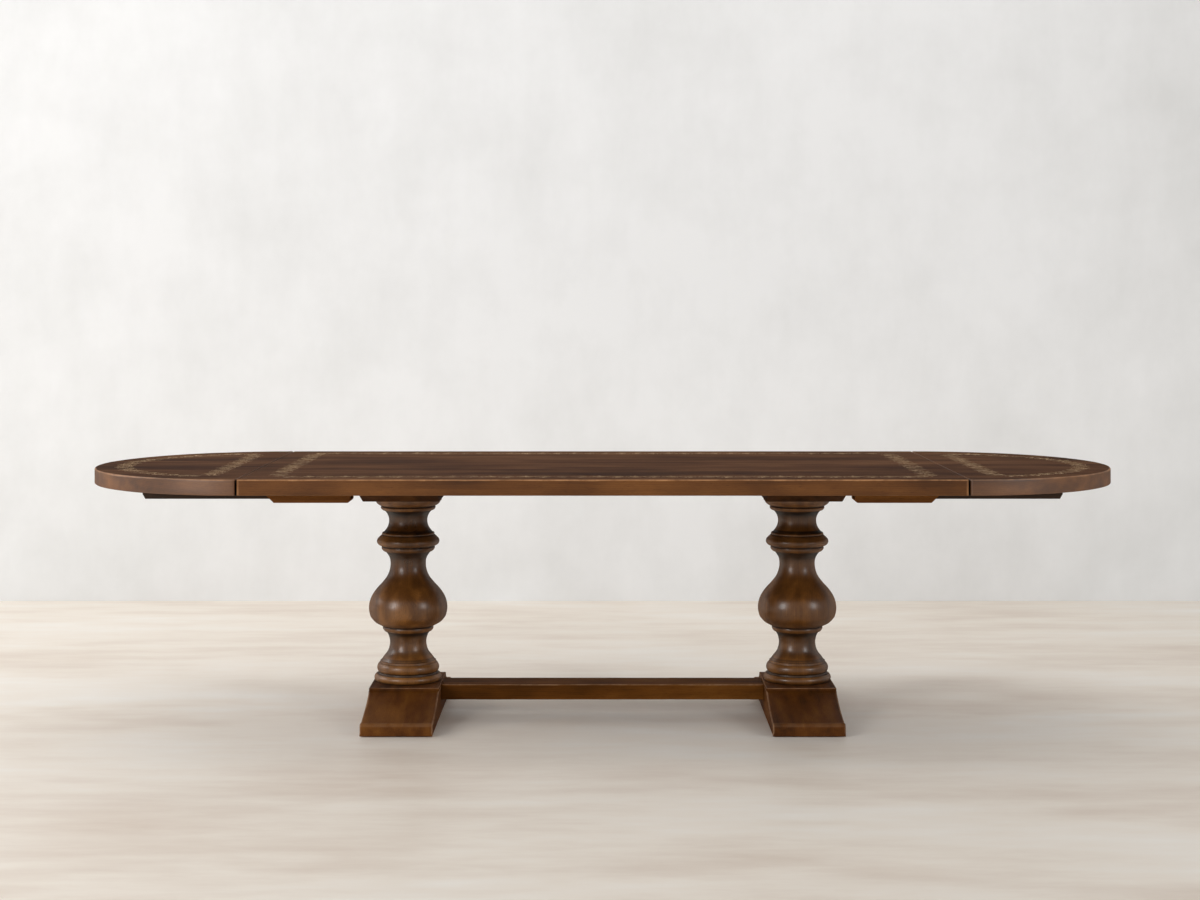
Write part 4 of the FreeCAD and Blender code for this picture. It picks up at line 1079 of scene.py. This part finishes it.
def softened_corner(before, corner, after):
    """A small curve in place of a corner, or the corner itself where the line hardly turns."""
    one = before - corner
    two = after - corner
    if one.length < COLUMN_LEAST_GAP or two.length < COLUMN_LEAST_GAP:
        return []
    if one.angle(two) > math.radians(COLUMN_SMOOTH_ANGLE):
        return [corner]
    reach = min(COLUMN_ARRIS_ROUND, min(one.length, two.length) * COLUMN_ARRIS_ROOM_SHARE)
    start = corner + one.normalized() * reach
    end = corner + two.normalized() * reach
    curve = []
    for step in range(COLUMN_ARRIS_STEPS + 1):
        t = step / COLUMN_ARRIS_STEPS
        curve.append(start * (1 - t) ** 2 + corner * 2 * t * (1 - t) + end * t ** 2)
    return curve


def column_profile():
    """Radius and height of the column, with its small steps softened."""
    profile = [column_point(COLUMN_START_SHARE)]
    for kind, shares in MOULDING_SHARES:
        points = [profile[-1]] + [column_point(share) for share in shares]
        run = smooth_run(points) if kind == CURVE else points
        profile += run[1:]
    softened = [profile[0]]
    for before, corner, after in zip(profile, profile[1:], profile[2:]):
        softened += softened_corner(before, corner, after)
    return softened + [profile[-1]]


def hollow_depths(profile, reach):
    """How far each point lies inside the mean radius of its surroundings."""
    depths = []
    for point in profile:
        radii = [other.x for other in profile if abs(other.y - point.y) < reach]
        depths.append(sum(radii) / len(radii) - point.x)
    return depths


def underside_shares(profile):
    """1 where the surface faces down, and 0 where it stands upright or faces up."""
    shares = [0.0]
    for before, after in zip(profile, profile[2:]):
        shares.append(max(0.0, (after - before).normalized().x))
    return shares + [0.0]


def make_column(name, side):
    profile = column_profile()
    glaze = []
    wear = []
    depths = zip(hollow_depths(profile, NARROW_HOLLOW), hollow_depths(profile, WIDE_HOLLOW),
                 underside_shares(profile))
    for narrow, wide, under in depths:
        # Glaze in the narrow hollows; painted shade in the wide hollows and where the surface faces down
        deep = (narrow + WIDE_HOLLOW_SHADE * wide) / FULL_GLAZE_AND_SHADE_DEPTH + UNDERSIDE_SHADE * under
        glaze += [min(1.0, max(0.0, deep))] * COLUMN_SEGMENTS
        wear += [min(1.0, max(0.0, -narrow / FULL_CREST_HEIGHT))] * COLUMN_SEGMENTS
    vertices = []
    for point in profile:
        for segment in range(COLUMN_SEGMENTS):
            angle = 2 * math.pi * segment / COLUMN_SEGMENTS
            x = math.cos(angle)
            y = math.sin(angle)
            ripple = slow_noise(x * RIPPLES_AROUND, y * RIPPLES_AROUND,
                                point.y * RIPPLES_UPWARDS + COLUMN_SEED + side)
            radius = point.x * (1 - COLUMN_RIPPLE_SHARE * ripple)
            vertices.append((side * TRESTLE_X + radius * x, radius * y, point.y))
    piece = make_piece(name, vertices, ring_faces(len(profile), COLUMN_SEGMENTS), (turned_wood,),
                       glaze=glaze, wear=wear)
    piece.data.set_sharp_from_angle(angle=math.radians(COLUMN_SHARP_ANGLE))
    return piece


# Vine border

class Border:
    """A closed line on the top, followed by its length and by a distance to its left."""

    def __init__(self, points):
        self.points = points
        self.lengths = [0.0]
        for _, point, after in triples(points):
            self.lengths.append(self.lengths[-1] + (after - point).length)
        self.total = self.lengths[-1]

    def at(self, along, aside):
        along = along % self.total
        count = len(self.points)
        number = bisect.bisect_right(self.lengths, along, hi=count) - 1
        before, start, end, beyond = [self.points[(number + step) % count] for step in (-1, 0, 1, 2)]
        share = (along - self.lengths[number]) / (self.lengths[number + 1] - self.lengths[number])
        tangent = (end - before).lerp(beyond - start, share)
        return start.lerp(end, share) + left_of(tangent) * aside


class Vine:
    """Collects the low relief of one border. Its points are (along, aside) the border's line."""

    def __init__(self, border):
        self.border = border
        self.vertices = []
        self.faces = []

    def vertex(self, place, rise):
        point = self.border.at(*place)
        self.vertices.append((point.x, point.y, VINE_LEVEL + rise))
        return len(self.vertices) - 1

    def ridge(self, rows):
        """A strip with sunk sides from (middle, side, rise) rows."""
        edges = []
        for middle, side, rise in rows:
            edges.append((self.vertex(middle + side, -VINE_SINK), self.vertex(middle, rise),
                          self.vertex(middle - side, -VINE_SINK)))
        for one, two in zip(edges, edges[1:]):
            self.faces.append((one[0], one[1], two[1], two[0]))
            self.faces.append((one[1], one[2], two[2], two[1]))

    def ribbon(self, line, widths):
        """A rounded strip along a line."""
        rows = []
        for index, point in enumerate(line):
            before = line[max(index - 1, 0)]
            after = line[min(index + 1, len(line) - 1)]
            rows.append((point, left_of(after - before) * widths[index] / 2, VINE_RELIEF))
        self.ridge(rows)

    def leaf(self, base, angle, length, width, curl):
        """A pointed, lobed leaf with a raised midrib that bends to one side."""
        rows = []
        for step in range(VINE_LEAF_STEPS + 1):
            share = step / VINE_LEAF_STEPS
            turn = angle + curl * share
            half = width / 2 * math.sin(math.pi * share ** VINE_LEAF_FULLNESS) ** VINE_LEAF_FULLNESS
            half *= 1 + VINE_LEAF_LOBE_SHARE * math.cos(share * math.pi * VINE_LEAF_LOBES)
            side = Vector((-math.sin(turn), math.cos(turn))) * half
            rise = VINE_RELIEF * (1 - VINE_LEAF_TIP_DROP_SHARE * share)
            rows.append((base + direction(turn) * length * share, side, rise))
        self.ridge(rows)

    def berry(self, centre, radius):
        middle = self.vertex(centre, VINE_RELIEF)
        ring = []
        for index in range(BERRY_SIDES):
            edge = centre + direction(2 * math.pi * index / BERRY_SIDES) * radius
            ring.append(self.vertex(edge, -VINE_SINK))
        for index in range(BERRY_SIDES):
            self.faces.append((middle, ring[index], ring[(index + 1) % BERRY_SIDES]))

    def blossom(self, centre, turn):
        for petal in range(PETALS):
            angle = turn + 2 * math.pi * petal / PETALS
            self.leaf(centre + direction(angle) * BERRY_RADIUS, angle, PETAL_LENGTH, PETAL_WIDTH, 0.0)
        self.berry(centre, BERRY_RADIUS)

    def tendril(self, start, centre, side):
        """A spiral from the stem that winds in round a centre."""
        offset = start - centre
        first = math.atan2(offset.y, offset.x)
        line = []
        widths = []
        for step in range(TENDRIL_STEPS + 1):
            share = step / TENDRIL_STEPS
            angle = first + side * TENDRIL_TURNS * 2 * math.pi * share
            radius = offset.length * (1 - TENDRIL_INWARD_SHARE * share ** TENDRIL_FULLNESS)
            line.append(centre + direction(angle) * radius)
            widths.append(TENDRIL_WIDTH * (TENDRIL_START_SHARE - TENDRIL_TAPER_SHARE * share))
        self.ribbon(line, widths)


def on_stem(along, wave, aside=0.0):
    """The point of the waving stem at a distance along the border, moved aside."""
    return Vector((along, WAVE_HEIGHT * math.sin(2 * math.pi * along / wave) + aside))


def make_vine(name, points):
    border = Border(points)
    vine = Vine(border)
    waves = round(border.total / WAVE_LENGTH)
    wave = border.total / waves
    count = round(border.total / VINE_STEP)
    line = [on_stem(border.total * index / count, wave) for index in range(count + 1)]
    vine.ribbon(line, [STEM_WIDTH] * len(line))
    chance = random.Random(name)
    for number in range(2 * waves):
        side = 1 if number % 2 == 0 else -1
        begin = number * wave / 2
        hollow = Vector((begin + wave * HOLLOW_SHARES[0], -side * WAVE_HEIGHT * HOLLOW_SHARES[1]))
        vine.tendril(on_stem(begin - wave * FORK_SHARE, wave), hollow, side)
        vine.blossom(hollow, chance.uniform(0, math.pi))
        for leaves, hand, curl in ((OUTER_LEAF_SHARES, side, OUTER_LEAF_CURL),
                                   (INNER_LEAF_SHARES, -side, INNER_LEAF_CURL)):
            for share, lean, size in leaves:
                base = on_stem(begin + wave * share, wave, hand * STEM_WIDTH / 2)
                length = VINE_LEAF_LENGTH * size * chance.uniform(*VINE_LEAF_SIZES)
                angle = side * (lean + chance.uniform(*VINE_LEAF_LEANS))
                vine.leaf(base, angle, length, VINE_LEAF_WIDTH * size, side * curl)
        for along_share, aside_share, size in BERRY_SHARES:
            centre = Vector((begin + wave * along_share, side * WAVE_HEIGHT * aside_share))
            vine.berry(centre, BERRY_RADIUS * size)
    return make_piece(name, vine.vertices, vine.faces, (inlay,))


def main_vine_line():
    return rectangle_outline(TOP_HIGH.x - VINE_END_INSET, TOP_HIGH.y - VINE_EDGE_INSET,
                             VINE_CORNER_ROUND, VINE_STEP)


def leaf_vine_line(side):
    """Follows the joint and the curved edge of a leaf, with rounded corners between them."""
    length = LEAF_LENGTH - VINE_TIP_INSET
    first = math.asin(VINE_JOINT_INSET / length)
    points = half_ellipse(length, HALF_DEPTH - VINE_EDGE_INSET, first, VINE_CURVE_STEPS)
    rounds = [VINE_CORNER_ROUND] + [VINE_CURVE_ROUND] * (VINE_CURVE_STEPS - 1) + [VINE_CORNER_ROUND]
    points = corner_rounded(points, rounds, VINE_STEP)
    return points if side > 0 else mirrored(points)


# The object

def dress(piece, body, slot, *nodes):
    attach(piece, body)
    if nodes:
        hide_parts(*nodes)


dress(make_main_top(), "table_base", "walnut_top", "main_top")
dress(make_vine("main_top_vine", main_vine_line()), "table_base", "walnut_top")

for side, hand in ((-1, "left"), (1, "right")):
    leaf = hand + "_leaf"
    dress(make_leaf(leaf + "_board", side), leaf, "walnut_top", leaf)
    dress(make_vine(leaf + "_vine", leaf_vine_line(side)), leaf, "walnut_top")
    dress(make_foot(hand + "_foot_block", side), "table_base", "walnut_frame", hand + "_foot")
    dress(make_foot_cap(hand + "_foot_cap", side), "table_base", "walnut_frame", hand + "_foot")
    dress(make_column(hand + "_turned_column", side), "table_base", "walnut_turned", hand + "_column")

dress(make_stretcher(), "table_base", "walnut_frame", "stretcher")

# Finishes of the pieces carried over, on both sides and shared
SIDE_FINISHES = (
    (shaded_bearer_wood, ("bearer",)),
    (lit_housing_wood, ("front_housing", "rear_housing")),
    (black_paint, ("front_rail", "rear_rail")),
    (brass, ("dowel_bushes",)),
    (beech, ("leaf_dowels",)),
    (nylon, ("foot_glides",)),
    (bronzed, ("front_latch", "rear_latch", "keeper_plates", "keeper_studs")),
    (zinc, ("bearer_screws", "housing_screws", "keeper_screws", "rail_screws", "tie_rod")),
)
SHARED_FINISHES = (
    (foot_wood, ("stretcher_bolt_plugs",)),
    (bronzed, ("latch_plates", "latch_pivots", "latch_screws")),
    (zinc, ("glide_nails", "stretcher_barrel_nuts", "stretcher_bolt_washers", "stretcher_bolts",
            "tie_rod_nuts", "tie_rod_washers")),
)


def refinish(finishes, hands=("",)):
    for material, names in finishes:
        for node in (hand + name for name in names for hand in hands):
            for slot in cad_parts[node].material_slots:
                slot.material = material


refinish(SIDE_FINISHES, ("left_", "right_"))
refinish(SHARED_FINISHES)


# Room

def make_plane(name, low, high, material):
    corners = [low, (high[0],) + low[1:], high, (low[0],) + high[1:]]
    mesh = bpy.data.meshes.new(name)
    mesh.from_pydata(corners, [], [(0, 1, 2, 3)])
    mesh.materials.append(material)
    plane = bpy.data.objects.new(name, mesh)
    bpy.context.scene.collection.objects.link(plane)


make_plane("wall", (-WALL_HALF_WIDTH, WALL_Y, 0), (WALL_HALF_WIDTH, WALL_Y, WALL_HEIGHT), make_plaster())
make_plane("floor", (-FLOOR_HALF_WIDTH, -FLOOR_HALF_WIDTH, 0),
           (FLOOR_HALF_WIDTH, FLOOR_HALF_WIDTH, 0), make_floor_finish())


# Light

for name, place, aim, width, height, power, spread in LAMPS:
    lamp = bpy.data.lights.new(name, "AREA")
    lamp.shape = "RECTANGLE"
    lamp.size = width
    lamp.size_y = height
    lamp.energy = power
    lamp.spread = math.radians(spread)
    softbox = bpy.data.objects.new(name, lamp)
    softbox.location = place
    softbox.rotation_euler = (Vector(aim) - Vector(place)).to_track_quat("-Z", "Y").to_euler()
    bpy.context.scene.collection.objects.link(softbox)

world = bpy.data.worlds.new("soft_daylight")
world.use_nodes = True
world.node_tree.nodes["Background"].inputs["Color"].default_value = WHITE
world.node_tree.nodes["Background"].inputs["Strength"].default_value = DAYLIGHT
bpy.context.scene.world = world


# Camera

camera_data = bpy.data.cameras.new("camera")
camera_data.lens = CAMERA_LENS
camera_data.shift_x = CAMERA_SHIFT_X
camera_data.shift_y = CAMERA_SHIFT_Y
camera = bpy.data.objects.new("camera", camera_data)
camera.location = (0, -CAMERA_DISTANCE, CAMERA_HEIGHT)
camera.rotation_euler = (math.radians(90), 0, 0)
bpy.context.scene.collection.objects.link(camera)
bpy.context.scene.camera = camera
bpy.context.scene.view_settings.view_transform = "Standard"
